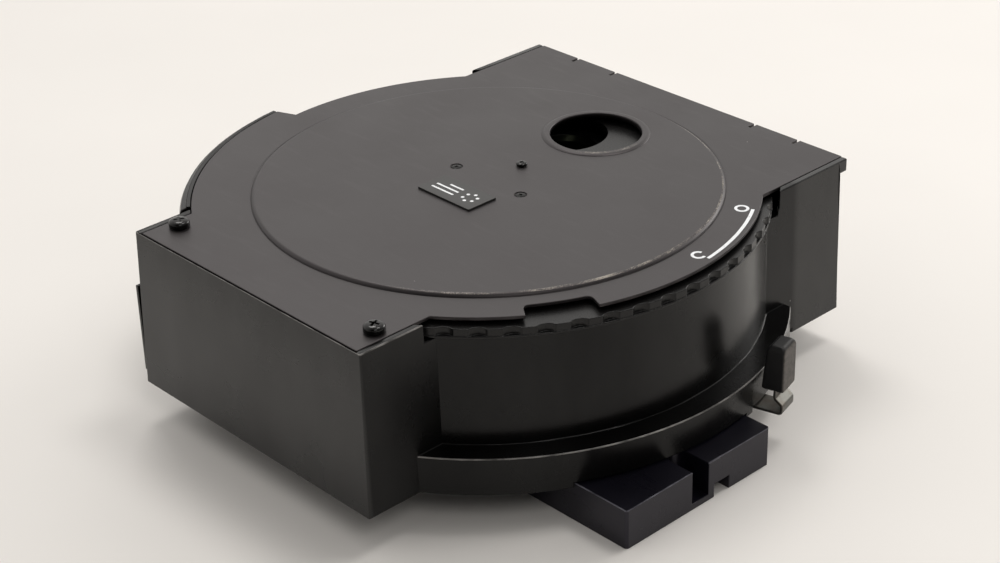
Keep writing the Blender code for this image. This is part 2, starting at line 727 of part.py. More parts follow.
def make_door(paint, steel):
    """Curved loading door, its hinge leaf on the front box, and the hinge pin."""
    inner, outer = DOOR_R
    start, end = DOOR_ANGLES
    shape = bmesh.new()
    profile = [
        (inner, DOOR_Z),
        (outer, DOOR_Z),
        (outer, TOP_Z - 2.4),
        (outer - 0.7, TOP_Z - 1.2),
        (inner + 1.4, TOP_Z - 0.4),
        (inner + 1.4, TOP_Z),
        (inner, TOP_Z),
    ]
    count = 17
    sections = []
    for i in range(count):
        angle = start + (end - start) * i / (count - 1)
        sections.append([shape.verts.new(polar(r, angle) + (z,)) for r, z in profile])
    for first, second in zip(sections, sections[1:]):
        for k in range(len(profile)):
            m = (k + 1) % len(profile)
            shape.faces.new((first[k], first[m], second[m], second[k]))
    shape.faces.new(sections[0])
    shape.faces.new(sections[-1][::-1])
    door = solid("loading_door", shape, paint)
    leaf_low, leaf_high = LEAF_Z
    knuckle_low, knuckle_high = KNUCKLE_Z
    join(door, disc("knuckle", KNUCKLE_R, knuckle_low, knuckle_high, DOOR_PIN, 24))
    cut(door, disc("pin_hole", PIN_R + GAP, DOOR_Z - 1.0, TOP_Z + 1.0, DOOR_PIN, 16))
    for low, high in ((DOOR_Z - 1.0, knuckle_low), (knuckle_high, leaf_high + GAP)):
        cut(door, disc("knuckle_room", KNUCKLE_R + GAP, low, high, DOOR_PIN, 24))
    smooth(door)

    leaf_y = FRONT_HALF + DRAFT + 0.15
    leaf_plan = rectangle(FRONT_X - 0.6, DOOR_PIN[0], leaf_y, leaf_y + LEAF_T)
    leaf = prism("door_hinge_leaf", leaf_plan, leaf_low, leaf_high, steel)
    for low, high in ((leaf_high - 6.2, leaf_high), (LEAF_PIN_Z, knuckle_low - GAP)):
        join(leaf, disc("knuckle", KNUCKLE_R, low, high, DOOR_PIN, 24))
    cut(leaf, disc("middle_room", KNUCKLE_R + 2.2, knuckle_low - GAP, knuckle_high + GAP, DOOR_PIN, 24))
    cut(leaf, disc("pin_hole", PIN_R + GAP, leaf_low - 1.0, leaf_high + 1.0, DOOR_PIN, 16))
    smooth(leaf)
    pin = disc("door_hinge_pin", PIN_R, LEAF_PIN_Z + 0.2, leaf_high - 0.2, DOOR_PIN, 16, steel)
    smooth(pin)
    return door


def make_port_rings(anodised):
    """Flanged ring in the rear light port, and a plain ring in the floor's port."""
    spigot_r = PORT_R + 3.0 - GAP
    rim_r = PORT_R + 5.0
    profile = [(PORT_R, -4.0), (spigot_r, -4.0), (spigot_r, 0.6), (rim_r, 0.6), (rim_r, 2.4), (PORT_R, 2.4)]
    port = turned("rear_port_ring", profile, 32, material=anodised)
    along_x(port, (REAR_X + 1.0, 0.0, PORT_Z))
    smooth(port)
    inner = FLOOR_PORT_RING_R
    outer = FLOOR_PORT_R - GAP
    low = HOUSING_Z + 0.2
    floor_profile = [(inner, low), (outer, low), (outer, FLOOR_Z), (inner, FLOOR_Z)]
    ring = turned("floor_port_ring", floor_profile, 32, (CUBE_PITCH_R, 0.0), anodised)
    smooth(ring)


def make_shutter(steel, strip_steel, rubber):
    """Slotted shutter sector with its upright blade, the bent lever strip and its cap."""
    start, end = SHUTTER_ANGLES
    top = SHUTTER_Z + SHUTTER_T
    sector = prism("shutter_blade", ring_sector(*SHUTTER_R, start, end), SHUTTER_Z, top, steel)
    upright = ring_sector(BLADE_R, BLADE_R + SHUTTER_T, -BLADE_HALF_ANGLE, BLADE_HALF_ANGLE, 2.0)
    join(sector, prism("upright", upright, SHUTTER_Z + 0.5, PORT_Z + PORT_R + 4.0))
    half = GUIDE_SHANK_R + GAP
    for number, angle in enumerate(GUIDE_ANGLES, start=1):
        slot = ring_sector(GUIDE_R - half, GUIDE_R + half, angle - SHUTTER_TRAVEL - 1.3, angle + 1.3)
        cut(sector, prism("guide_slot", slot, SHUTTER_Z - 1.0, top + 1.0))
        centre = polar(GUIDE_R, angle)
        name = f"shutter_guide_screw_{number}"
        guide = disc(name, GUIDE_HEAD_R, HOUSING_Z + 0.4, SHUTTER_Z - GAP, centre, 24, steel)
        join(guide, disc("shank", GUIDE_SHANK_R, SHUTTER_Z - 0.6, FLOOR_Z - 1.0, centre, 20))
        smooth(guide, 35.0)

    # Lever strip: flat along the floor, bent up, set back, then straight into the cap
    low = HOUSING_Z + 0.5
    strip_high = low + 22.0
    outer_side = [
        (83.2, low),
        (111.8, low),
        (113.0, low + 0.5),
        (113.3, low + 1.2),
        (113.3, low + 3.0),
        (111.0, low + 5.4),
        (110.7, low + 6.2),
        (110.7, strip_high),
    ]
    inner_side = [
        (109.7, strip_high),
        (109.7, low + 6.0),
        (110.0, low + 5.0),
        (112.2, low + 2.7),
        (112.2, low + 1.4),
        (111.6, low + 1.0),
        (83.2, low + 1.0),
    ]
    outline = outer_side + inner_side
    strip = side_prism("lever_strip", outline, 0.5 * LEVER_WIDTH, LEVER_ANGLE, strip_steel)
    parts = [sector, strip]
    for number, sideways in enumerate(RIVET_OFFSETS, start=1):
        angle = LEVER_ANGLE + math.degrees(sideways / GUIDE_R)
        centre = polar(GUIDE_R, angle)
        for part in (sector, strip):
            cut(part, disc("rivet_hole", RIVET_SHANK_R + GAP, HOUSING_Z - 1.0, top + 1.0, centre, 16))
        name = f"lever_rivet_{number}"
        rivet = disc(name, RIVET_HEAD_R, HOUSING_Z - 0.3, low - GAP, centre, 16, strip_steel)
        join(rivet, disc("shank", RIVET_SHANK_R, HOUSING_Z, top - 0.1, centre, 16))
        smooth(rivet, 35.0)
        parts.append(rivet)
    smooth(sector)

    cap_low, cap_high = CAP_Z
    cap_outline = [
        (105.5, cap_low),
        (113.4, cap_low),
        (113.4, cap_high - 2.0),
        (112.0, cap_high),
        (108.6, cap_high),
        (107.0, cap_high - 1.6),
    ]
    cap = side_prism("lever_cap", cap_outline, CAP_HALF_WIDTH, LEVER_ANGLE, rubber)
    sleeve = rectangle(109.7 - GAP, 110.7 + GAP, cap_low - 1.0, strip_high + GAP)
    cut(cap, side_prism("sleeve", sleeve, 0.5 * LEVER_WIDTH + GAP, LEVER_ANGLE))
    parts.append(cap)
    return parts


def make_detent(steel, brass):
    """Spring arm with a roller that drops into the base plate's notches."""
    post_x, post_y = DETENT_POST
    post = disc("detent_post", 5.0, FLOOR_Z + GAP, ARM_Z - GAP, DETENT_POST, 24, steel)
    join(post, disc("stud", STUD_R, ARM_Z - 1.0, ARM_Z + ARM_T + 8.0, DETENT_POST, 24))
    smooth(post, 35.0)

    along = Vector(ROLLER_AT) - Vector(DETENT_POST)
    heading = math.degrees(math.atan2(along.y, along.x))
    outline = arc(5.4, heading + 90.0, heading + 270.0, 20.0, DETENT_POST)
    outline += arc(4.2, heading - 90.0, heading + 90.0, 20.0, ROLLER_AT)
    arm = prism("detent_arm", outline, ARM_Z, ARM_Z + ARM_T, steel)
    cut(arm, disc("post_hole", STUD_R + GAP, ARM_Z - 1.0, ARM_Z + ARM_T + 1.0, DETENT_POST, 24))
    cut(arm, disc("pin_hole", ROLLER_PIN_R + GAP, ARM_Z - 1.0, ARM_Z + ARM_T + 1.0, ROLLER_AT, 16))
    smooth(arm)
    pin = disc("roller_pin", ROLLER_PIN_R, BASE_Z - 0.2, ARM_Z + ARM_T + 0.6, ROLLER_AT, 16, steel)
    smooth(pin)
    bore = ROLLER_PIN_R + GAP
    low = BASE_Z - 0.1
    high = BASE_Z + BASE_T + 0.5
    roller_profile = [(bore, low), (ROLLER_R, low), (ROLLER_R, high), (bore, high)]
    roller = turned("detent_roller", roller_profile, 32, ROLLER_AT, brass)
    smooth(roller)

    # Torsion spring wound round the stud above the arm
    wire_r = 0.6
    coil_r = 4.4
    turns = 3
    per_turn = 12
    sides = 5
    rise = 1.6
    shape = bmesh.new()
    rings = []
    for i in range(turns * per_turn + 1):
        angle = 2.0 * math.pi * i / per_turn
        z = ARM_Z + ARM_T + GAP + wire_r + rise * i / per_turn
        ring = []
        for k in range(sides):
            around = 2.0 * math.pi * k / sides
            r = coil_r + wire_r * math.cos(around)
            x = post_x + r * math.cos(angle)
            y = post_y + r * math.sin(angle)
            ring.append(shape.verts.new((x, y, z + wire_r * math.sin(around))))
        rings.append(ring)
    for first, second in zip(rings, rings[1:]):
        for k in range(sides):
            m = (k + 1) % sides
            shape.faces.new((first[k], second[k], second[m], first[m]))
    shape.faces.new(rings[0])
    shape.faces.new(rings[-1][::-1])
    smooth(solid("detent_spring", shape, steel), 80.0)
    return [arm, pin, roller]


def add_axis(name, things, at, turn=0.0):
    """Parent a moving group to an empty on its joint's axis."""
    empty = bpy.data.objects.new(name, None)
    bpy.context.scene.collection.objects.link(empty)
    empty.location = Vector(at) * MM
    empty.rotation_euler.z = math.radians(turn)
    for thing in things:
        thing.data.transform(Matrix.Translation(-Vector(at) * MM))
    parent_all(things, empty)


def main():
    clear_scene()
    paint = make_material("black_paint", (0.022, 0.021, 0.020), 0.45, 0.0)
    anodised = make_material("black_anodised", (0.018, 0.018, 0.021), 0.4, 0.2)
    block_finish = make_material("block_anodised", (0.020, 0.020, 0.026), 0.4, 0.3)
    label_metal = make_material("label_metal", (0.06, 0.06, 0.06), 0.4, 0.5)
    black_steel = make_material("black_steel", (0.03, 0.03, 0.03), 0.3, 0.8)
    steel = make_material("steel", (0.5, 0.5, 0.5), 0.35, 1.0)
    strip_steel = make_material("strip_steel", (0.25, 0.26, 0.24), 0.4, 1.0)
    brass = make_material("brass", (0.65, 0.48, 0.22), 0.35, 1.0)
    rubber = make_material("rubber", (0.05, 0.047, 0.045), 0.7, 0.0)
    filter_glass = make_material("filter_glass", (0.10, 0.16, 0.30), 0.08, 0.0)
    mirror_glass = make_material("mirror_glass", (0.35, 0.40, 0.30), 0.05, 0.4)

    make_housing(paint)
    make_cover(paint)
    make_mount_block(block_finish)
    make_fasteners(steel, black_steel)
    make_axle(steel)
    make_label(label_metal)
    make_port_rings(anodised)

    turret = [make_wheel(anodised)]
    turret += make_turret_frame(anodised, brass, steel)
    for number in range(1, CUBE_COUNT + 1):
        turret += make_cube(number, anodised, filter_glass, mirror_glass)
    add_axis("turret_axis", turret, (0.0, 0.0, 0.0), TURRET_TURN)

    door = make_door(paint, steel)
    add_axis("door_axis", [door], (*DOOR_PIN, DOOR_Z))
    add_axis("shutter_axis", make_shutter(steel, strip_steel, rubber), (0.0, 0.0, 0.0))
    arm, pin, roller = make_detent(steel, brass)
    add_axis("detent_axis", [arm, pin], (*DETENT_POST, ARM_Z))
    add_axis("roller_axis", [roller], (*ROLLER_AT, ARM_Z))


main()
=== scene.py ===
"""Looks of the rotary filter turret: satin black casting, pressed cover, scalloped wheel, lever and block.

Lengths in the tables below are millimetres; helpers turn them into the frame's metres.
"""
import math

import bmesh
import bpy
from mathutils import Matrix, Vector


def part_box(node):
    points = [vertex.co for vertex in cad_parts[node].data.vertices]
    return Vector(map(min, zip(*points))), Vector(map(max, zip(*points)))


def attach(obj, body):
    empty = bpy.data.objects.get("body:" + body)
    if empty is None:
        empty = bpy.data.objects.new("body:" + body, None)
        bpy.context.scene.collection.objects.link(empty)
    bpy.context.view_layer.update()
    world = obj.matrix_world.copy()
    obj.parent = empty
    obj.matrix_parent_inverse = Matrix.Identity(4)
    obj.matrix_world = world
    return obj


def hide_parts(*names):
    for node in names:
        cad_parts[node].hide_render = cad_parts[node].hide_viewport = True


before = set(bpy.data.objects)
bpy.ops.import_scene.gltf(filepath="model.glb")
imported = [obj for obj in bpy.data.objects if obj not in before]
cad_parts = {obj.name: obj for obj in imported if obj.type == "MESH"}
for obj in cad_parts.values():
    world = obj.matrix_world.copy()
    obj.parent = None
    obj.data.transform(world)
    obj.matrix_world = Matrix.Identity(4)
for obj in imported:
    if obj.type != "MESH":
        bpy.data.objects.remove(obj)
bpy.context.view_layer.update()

MM = 0.001


def box_mm(node):
    low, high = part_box(node)
    return low / MM, high / MM


# Boxes read from the frame
cover_low, cover_high = box_mm("top_cover")
wheel_low, wheel_high = box_mm("turret_wheel")
plate_low, plate_high = box_mm("label_plate")
cap_low, cap_high = box_mm("lever_cap")

# Heights: the lip of the light hole is the cover's highest place
COVER_RISE = 1.5
COVER_T = 1.2
HOUSING_HEIGHT = 57.3
DISC_RISE = 0.9
TOP_Z = cover_high.z - COVER_RISE
COVER_Z = TOP_Z - COVER_T
HOUSING_Z = TOP_Z - HOUSING_HEIGHT
DISC_TOP = TOP_Z + DISC_RISE

# Top cover
COVER_FRONT_X = cover_low.x
COVER_FRONT_HALF = 54.4
COVER_REAR_X = cover_high.x
COVER_REAR_HALF = 73.3
COVER_ARC_R = -cover_low.y
COVER_DOOR_R = 100.3
COVER_DOOR_ANGLES = (96.0, 97.2)
COVER_EDGE = 0.25
DISC_R = 80.4
DISC_SLOPE = 1.5
DISC_STEPS = 240
RIDGE_BEND = 2.4
GROOVE_DEPTH = 0.3
GROOVE_FLOOR = 0.3
GROOVE_WIDTH = 0.8
UNDER_R = DISC_R - 1.6
LIGHT_HOLE_X = 52.4
LIGHT_HOLE_R = 16.3
LIGHT_HOLE_FLARE = 0.5
LIP_R = 19.3
LIP_BEND = 1.8
LIP_RISE = COVER_RISE - DISC_RISE
LIP_SLOPE = 1.5
LIP_STEPS = 144
SLOPE_STEPS = 9
FLARE_STEPS = 5
THUMB_ANGLES = (-126.2, -111.8)
THUMB_R = 86.4
THUMB_CORNER = 2.4
SLIT_Y = (-54.2, -34.4, 34.4, 54.2)
SLIT_WIDTH = 1.2
SLIT_LENGTH = 3.6
TAB_Y = (35.3, 53.3)
TAB_DROP = 6.5
TAB_EDGE = 0.2
OVERLAP = 0.02

# Screws of the cover and of the centre
COVER_SCREWS = ((-92.8, -49.3), (-92.8, 49.3))
PROUD_SCREW = (15.9, 0.0)
FLUSH_SCREWS = ((0.0, 15.9), (0.0, -15.9))
COVER_HOLE_R = 1.8
CENTRE_HOLE_R = 1.5
SEAT_R = 2.2
SEAT_DEPTH = 0.8
SCREW_HOLE_FLARE = 0.15

# Housing and mount block
FRONT_X = -105.1
FRONT_HALF = 57.0
REAR_BOX_X = 70.0
FLANGE_R = 103.8
FLANGE_Z = HOUSING_Z + 13.4
BLOCK_X = -50.0
BLOCK_Y = -112.7
BLOCK_TOP = HOUSING_Z + 1.5

# Scalloped wheel
WHEEL_R = wheel_high.x
SCALLOP_COUNT = 58
SCALLOP_R = 3.9
SCALLOP_DEPTH = 1.4
SCALLOP_FLOOR = 0.9
SCALLOP_TURN = 13.9
SCALLOP_CENTRE_R = WHEEL_R + SCALLOP_R - SCALLOP_DEPTH
# Where each scallop is sampled, in shares of its half width
SCALLOP_STEPS = (-1.0, -0.85, -0.65, -0.4, 0.0, 0.4, 0.65, 0.85, 1.0)
PLAIN_R = WHEEL_R - 0.03
WHEEL_BORE_R = 8.0
WHEEL_HOLE_R = 15.6
CUBE_COUNT = 6
TURRET_TURN = 15.5

# Shutter lever
LEVER_ANGLE = -74.6
LEVER_WIDTH = 8.7
STRIP_T = 1.0
STRIP_INNER_R = 83.2
STRIP_OUTER_R = 112.8
STRIP_BACK_R = 110.2
STRIP_BEND = 1.1
STRIP_LOW = HOUSING_Z + 1.0
STRIP_HEIGHT = 21.0
CAP_FACE_R = 113.4
CAP_CORNER = 1.0
CAP_PLAY = 0.8
SLEEVE_R = (109.5, 110.9)
SLEEVE_HALF = 4.5
SLEEVE_DEPTH = 13.9

# Open-closed scale printed on the cover
SCALE_R = 90.7
SCALE_ANGLES = (-83.3, -59.2)
SCALE_HALF = 0.58
LETTER_R = 87.0
LETTER_ANGLES = (-83.3, -59.3)
LETTER_SIZE = 2.0
STROKE_HALF = 0.5
PRINT_T = 0.03
PRINT_GAP = 0.004

# Mark on the label plate: a ring of dots and three rules
MARK_DOTS = 6
MARK_RING_R = 2.6
MARK_DOT_R = 0.62
MARK_DOTS_Y = -6.6
MARK_RULES_Y = -0.8
MARK_RULES = (10.5, 10.5, 6.5)
MARK_RULE_HALF = 0.4
MARK_PITCH = 2.4

# Edge lines and specks: how far a lighter edge line reaches, the colour of the cover's bright specks,
# and the bands of specks on the cover, each with its radius, half width, X of the centre and the
# direction of the side that carries them. The specks are partly rubbed paint and partly painted
# highlight: each band lies only on the side where a glint falls.
EDGE_LINE_REACH = 0.2
WORN_AND_GLINT_COLOUR = (0.34, 0.31, 0.26)
WEAR_AND_GLINT_BANDS = (
    (DISC_R - 1.1, 0.5, 0.0, -112.0),
    # A painted glint on the ridge's right-hand side, where it faces the bright right of the room
    (DISC_R - 1.0, 0.3, 0.0, -50.0),
    (LIGHT_HOLE_R + 1.0, 0.7, LIGHT_HOLE_X, -122.0),
)

# How glossy the casting's paint is on its flat ends and on its round wall
END_GLOSS = 0.46
WALL_GLOSS = 0.24

# Camera: place, bearing in radians and focal length; floor: half its side
CAMERA_PLACE = (-436.46, -477.79, 384.26)
CAMERA_AZIMUTH = 0.745
CAMERA_ELEVATION = 0.499
CAMERA_ROLL = -0.028
CAMERA_LENS = 76.16
SENSOR_WIDTH = 36.0
FLOOR_HALF = 4000.0

# The room's brightness towards some directions: direction, where it starts and ends, power, strength
ROOM_LOBES = (
    ((0.62, 0.55, 0.50), -0.1, 1.0, 1.5, 1.23),
    ((-0.72, 0.60, 0.34), 0.4, 1.0, 1.5, 0.72),
    ((0.23, -0.88, 0.42), 0.4, 1.0, 1.5, 0.28),
)
# Soft lamps: name, place in metres, size in metres and watts
LAMPS = (
    ("lamp_back", (0.35, 0.75, 1.5), (0.5, 0.5), 5.9),
    ("lamp_top", (0.45, -0.2, 1.5), (0.4, 0.4), 4.5),
    ("lamp_right", (1.6, -0.2, 0.6), (0.9, 0.5), 8.2),
    ("lamp_front", (-0.6, -1.2, 1.4), (0.7, 0.7), 4.6),
)
LIGHT_COLOUR = (1.0, 0.975, 0.945)

# Mesh cleaning: the distance in millimetres at which a new solid's points merge, and in metres
# the Weld distance and the unevenness and area of a face that counts as level
MERGE_MM = 1e-5
WELD_REACH = 4e-6
LEVEL_REACH = 2e-7
LEVEL_AREA = 1e-10


# ---------------------------------------------------------------- shapes

def polar(radius, degrees):
    angle = math.radians(degrees)
    return (radius * math.cos(angle), radius * math.sin(angle))


def arc(radius, start, end, step=1.5, centre=(0.0, 0.0)):
    """Points along an arc, both ends included."""
    count = max(2, round(abs(end - start) / step)) + 1
    points = []
    for i in range(count):
        x, y = polar(radius, start + (end - start) * i / (count - 1))
        points.append((centre[0] + x, centre[1] + y))
    return points


def circle(radius, steps=96, centre=(0.0, 0.0)):
    """Points around a circle, turned a little so that none lies on an axis."""
    step = 360.0 / steps
    first = 0.3 * step
    return arc(radius, first, first + 360.0, step, centre)[:-1]


def rectangle(x0, x1, y0, y1):
    return [(x0, y0), (x1, y0), (x1, y1), (x0, y1)]


def ring_sector(inner, outer, start, end, step=1.5):
    """A curved bar between two radii and two angles."""
    return arc(outer, start, end, step) + arc(inner, end, start, step)


def round_corner(before, corner, after, radius, steps=6):
    """Replace a corner by a smooth curve that leaves each side at the given distance."""
    corner = Vector(corner)
    start = corner + (Vector(before) - corner).normalized() * radius
    end = corner + (Vector(after) - corner).normalized() * radius
    points = []
    for i in range(steps + 1):
        t = i / steps
        point = start * (1 - t) ** 2 + corner * 2 * t * (1 - t) + end * t ** 2
        points.append((point.x, point.y))
    return points


def rounded(outline, radius, steps=6):
    """An outline with every corner rounded."""
    points = []
    for i, corner in enumerate(outline):
        after = outline[(i + 1) % len(outline)]
        points += round_corner(outline[i - 1], corner, after, radius, steps)
    return points


def turned_outline(outline, at, degrees):
    """An outline turned about its origin and moved to a place."""
    turn = Matrix.Rotation(math.radians(degrees), 2)
    return [tuple(turn @ Vector(p) + Vector(at)) for p in outline]


def solid(name, shape):
    """Turn a bmesh in millimetres into an object in metres."""
    bmesh.ops.remove_doubles(shape, verts=shape.verts, dist=MERGE_MM)
    bmesh.ops.recalc_face_normals(shape, faces=shape.faces)
    shape.transform(Matrix.Scale(MM, 4))
    mesh = bpy.data.meshes.new(name)
    shape.to_mesh(mesh)
    shape.free()
    thing = bpy.data.objects.new(name, mesh)
    bpy.context.scene.collection.objects.link(thing)
    return thing


def loft(name, rows):
    """A closed solid through rows of points, with as many points in each row."""
    shape = bmesh.new()
    loops = [[shape.verts.new(point) for point in row] for row in rows]
    shape.faces.new(loops[0][::-1])
    shape.faces.new(loops[-1])
    for lower, upper in zip(loops, loops[1:]):
        for i in range(len(lower)):
            j = (i + 1) % len(lower)
            shape.faces.new((lower[i], lower[j], upper[j], upper[i]))
    return solid(name, shape)


def prism(name, outline, z0, z1):
    """An outline extruded upwards from one height to another."""
    return loft(name, [[(x, y, z) for x, y in outline] for z in (z0, z1)])


def turned(name, profile, steps=96, centre=(0.0, 0.0)):
    """A solid of revolution about Z; the profile is a closed list of (radius, height)."""
    shape = bmesh.new()
    rings = []
    for r, z in profile:
        if r == 0.0:
            rings.append([shape.verts.new((centre[0], centre[1], z))])
        else:
            rings.append([shape.verts.new((x, y, z)) for x, y in circle(r, steps, centre)])
    for k, ring in enumerate(rings):
        upper = rings[(k + 1) % len(rings)]
        if len(ring) == 1 and len(upper) == 1:
            continue
        for i in range(steps):
            j = (i + 1) % steps
            corners = [ring[i % len(ring)], ring[j % len(ring)]]
            corners += [upper[j % len(upper)], upper[i % len(upper)]]
            shape.faces.new(list(dict.fromkeys(corners)))
    return solid(name, shape)


def settle(thing):
    """Turn the modifiers' result into the mesh itself."""
    evaluated = thing.evaluated_get(bpy.context.evaluated_depsgraph_get())
    mesh = bpy.data.meshes.new_from_object(evaluated)
    thing.modifiers.clear()
    thing.data = mesh
    return thing


def combine(thing, other, operation):
    """Apply a Boolean with another object, which is used up."""
    modifier = thing.modifiers.new(operation.lower(), "BOOLEAN")
    modifier.operation = operation
    modifier.solver = "MANIFOLD"
    modifier.object = other
    settle(thing)
    bpy.data.objects.remove(other, do_unlink=True)


def cut(thing, cutter):
    combine(thing, cutter, "DIFFERENCE")


def join(thing, other):
    combine(thing, other, "UNION")


def soften(thing, width, segments=3, degrees=38.0):
    """Round the sharp edges, and let each flat face keep its own shading."""
    mesh = thing.data
    for name in ("custom_normal", "sharp_edge", "sharp_face"):
        layer = mesh.attributes.get(name)
        if layer:
            mesh.attributes.remove(layer)
    mesh.shade_smooth()
    weld = thing.modifiers.new("weld", "WELD")
    weld.merge_threshold = WELD_REACH
    bevel = thing.modifiers.new("bevel", "BEVEL")
    bevel.width = width * MM
    bevel.segments = segments
    bevel.limit_method = "ANGLE"
    bevel.angle_limit = math.radians(degrees)
    bevel.use_clamp_overlap = False
    normals = thing.modifiers.new("normals", "WEIGHTED_NORMAL")
    normals.mode = "FACE_AREA"
    normals.weight = 100
    normals.thresh = 1e-8
    return thing


def level_normals(thing):
    """Smooth shading, with straight up or down normals on every level face and its border."""
    mesh = thing.data
    mesh.shade_smooth()
    normals = [vertex.normal.copy() for vertex in mesh.vertices]
    for face in mesh.polygons:
        heights = [mesh.vertices[index].co.z for index in face.vertices]
        if max(heights) - min(heights) < LEVEL_REACH and face.area > LEVEL_AREA:
            upright = Vector((0.0, 0.0, math.copysign(1.0, face.normal.z)))
            for index in face.vertices:
                normals[index] = upright
    mesh.normals_split_custom_set_from_vertices(normals)


# ---------------------------------------------------------------- materials

class Nodes:
    """A short way to build one node material."""

    def __init__(self, name):
        self.material = bpy.data.materials.new(name)
        self.material.use_nodes = True
        self.tree = self.material.node_tree
        self.shader = self.tree.nodes["Principled BSDF"]
        coordinates = self.tree.nodes.new("ShaderNodeTexCoord")
        scale = self.tree.nodes.new("ShaderNodeVectorMath")
        scale.operation = "SCALE"
        scale.inputs["Scale"].default_value = 1.0 / MM
        self.link(coordinates.outputs["Object"], scale.inputs[0])
        self.place = scale.outputs["Vector"]

    def link(self, output, socket):
        self.tree.links.new(output, socket)

    def noise(self, size, detail=3.0, roughness=0.5, stretch=None):
        """Noise whose features are about the given size in millimetres."""
        node = self.tree.nodes.new("ShaderNodeTexNoise")
        node.inputs["Scale"].default_value = 1.0 / size
        node.inputs["Detail"].default_value = detail
        node.inputs["Roughness"].default_value = roughness
        self.link(self.stretched(stretch), node.inputs["Vector"])
        return node.outputs["Fac"]

    def stretched(self, stretch):
        """The place on the object, scaled along each axis."""
        if not stretch:
            return self.place
        node = self.tree.nodes.new("ShaderNodeVectorMath")
        node.operation = "MULTIPLY"
        node.inputs[1].default_value = stretch
        self.link(self.place, node.inputs[0])
        return node.outputs["Vector"]

    def ramp(self, value, low, high, from_value=0.0, to_value=1.0):
        """A straight, clamped change from one value to another."""
        node = self.tree.nodes.new("ShaderNodeMapRange")
        node.inputs["From Min"].default_value = low
        node.inputs["From Max"].default_value = high
        node.inputs["To Min"].default_value = from_value
        node.inputs["To Max"].default_value = to_value
        self.link(value, node.inputs["Value"])
        return node.outputs["Result"]

    def math(self, operation, first, second):
        node = self.tree.nodes.new("ShaderNodeMath")
        node.operation = operation
        for socket, value in zip(node.inputs, (first, second)):
            if isinstance(value, (int, float)):
                socket.default_value = value
            else:
                self.link(value, socket)
        return node.outputs["Value"]

    def mix(self, factor, first, second):
        node = self.tree.nodes.new("ShaderNodeMix")
        node.data_type = "RGBA"
        self.link(factor, node.inputs["Factor"])
        for socket, value in zip((node.inputs[6], node.inputs[7]), (first, second)):
            if isinstance(value, tuple):
                socket.default_value = (*value, 1.0)
            else:
                self.link(value, socket)
        return node.outputs[2]

    def specks(self, spacing, size, share):
        """Sparse dust specks: 1 inside a speck, 0 elsewhere."""
        cells = self.tree.nodes.new("ShaderNodeTexVoronoi")
        cells.inputs["Scale"].default_value = 1.0 / spacing
        self.link(self.place, cells.inputs["Vector"])
        near = self.math("LESS_THAN", cells.outputs["Distance"], size / spacing)
        split = self.tree.nodes.new("ShaderNodeSeparateColor")
        self.link(cells.outputs["Color"], split.inputs["Color"])
        chosen = self.math("LESS_THAN", split.outputs["Red"], share)
        return self.math("MULTIPLY", near, chosen)

    def bump(self, height, distance, strength):
        """Surface relief of the given depth in millimetres."""
        node = self.tree.nodes.new("ShaderNodeBump")
        node.inputs["Strength"].default_value = strength
        node.inputs["Distance"].default_value = distance * MM
        self.link(height, node.inputs["Height"])
        return node.outputs["Normal"]

    def finish(self, colour=None, roughness=None, normal=None, metallic=None, **values):
        """Set the shader's main inputs to links or values, then the others to values."""
        main = {"Base Color": colour, "Roughness": roughness, "Normal": normal, "Metallic": metallic}
        for name, value in main.items():
            if value is None:
                continue
            if isinstance(value, tuple):
                self.shader.inputs[name].default_value = (*value, 1.0)
            elif isinstance(value, (int, float)):
                self.shader.inputs[name].default_value = value
            else:
                self.link(value, self.shader.inputs[name])
        for name, value in values.items():
            self.shader.inputs[name.replace("_", " ")].default_value = value
        return self.material


def times(factor, colour):
    return tuple(factor * value for value in colour)


def satin_paint(name, colour, roughness, grain=0.45, depth=0.012, dust=0.05, shine=(1.0, 1.0, 1.0),
                gloss_level=0.5, wear_and_highlight=None, wear_and_highlight_colour=None, ends=None):
    """Fine satin paint: mottled colour and gloss, a fine grain, faint rubs, sparse dust and, where given,
    lighter marks that are partly wear and partly painted highlight.
    """
    n = Nodes(name)
    clouds = n.noise(26.0, 4.0)
    grain_noise = n.noise(grain, 2.0)
    rubs = n.noise(3.0, 5.0, 0.6, (1.0, 0.18, 0.5))
    tone = n.mix(n.ramp(clouds, 0.3, 0.7), times(0.82, colour), times(1.22, colour))
    specks = n.specks(5.0, 0.13, dust)
    tone = n.mix(specks, tone, (0.5, 0.48, 0.45))
    # Lighter marks mixed into the colour: partly wear, partly painted highlight along edges and ridges
    if wear_and_highlight:
        tone = n.mix(wear_and_highlight(n), tone, wear_and_highlight_colour)
    gloss = n.math("ADD", n.ramp(clouds, 0.3, 0.7, roughness - 0.04, roughness + 0.04),
                   n.ramp(rubs, 0.55, 0.75, 0.0, -0.05))
    normal = n.bump(grain_noise, depth, 0.6)
    if ends:
        n.link(ends(n), n.shader.inputs["Specular IOR Level"])
    return n.finish(tone, gloss, normal, Specular_Tint=(*shine, 1.0), Specular_IOR_Level=gloss_level)


def on_edge(n, first, second):
    """1 along an edge: both coordinates of the surface are within reach of the given values."""
    near = []
    for value, at in (first, second):
        distance = n.math("ABSOLUTE", n.math("SUBTRACT", value, at), 0.0)
        near.append(n.math("LESS_THAN", distance, EDGE_LINE_REACH))
    return n.math("MULTIPLY", *near)


def edge_highlight_and_rub(n, edges):
    """Lighter edge lines, stronger in some places than in others: painted highlight on the housing, partly
    wear and partly painted highlight on the block.
    """
    return n.math("MULTIPLY", largest(n, edges), n.ramp(n.noise(7.0, 3.0), 0.35, 0.65, 0.25, 1.0))


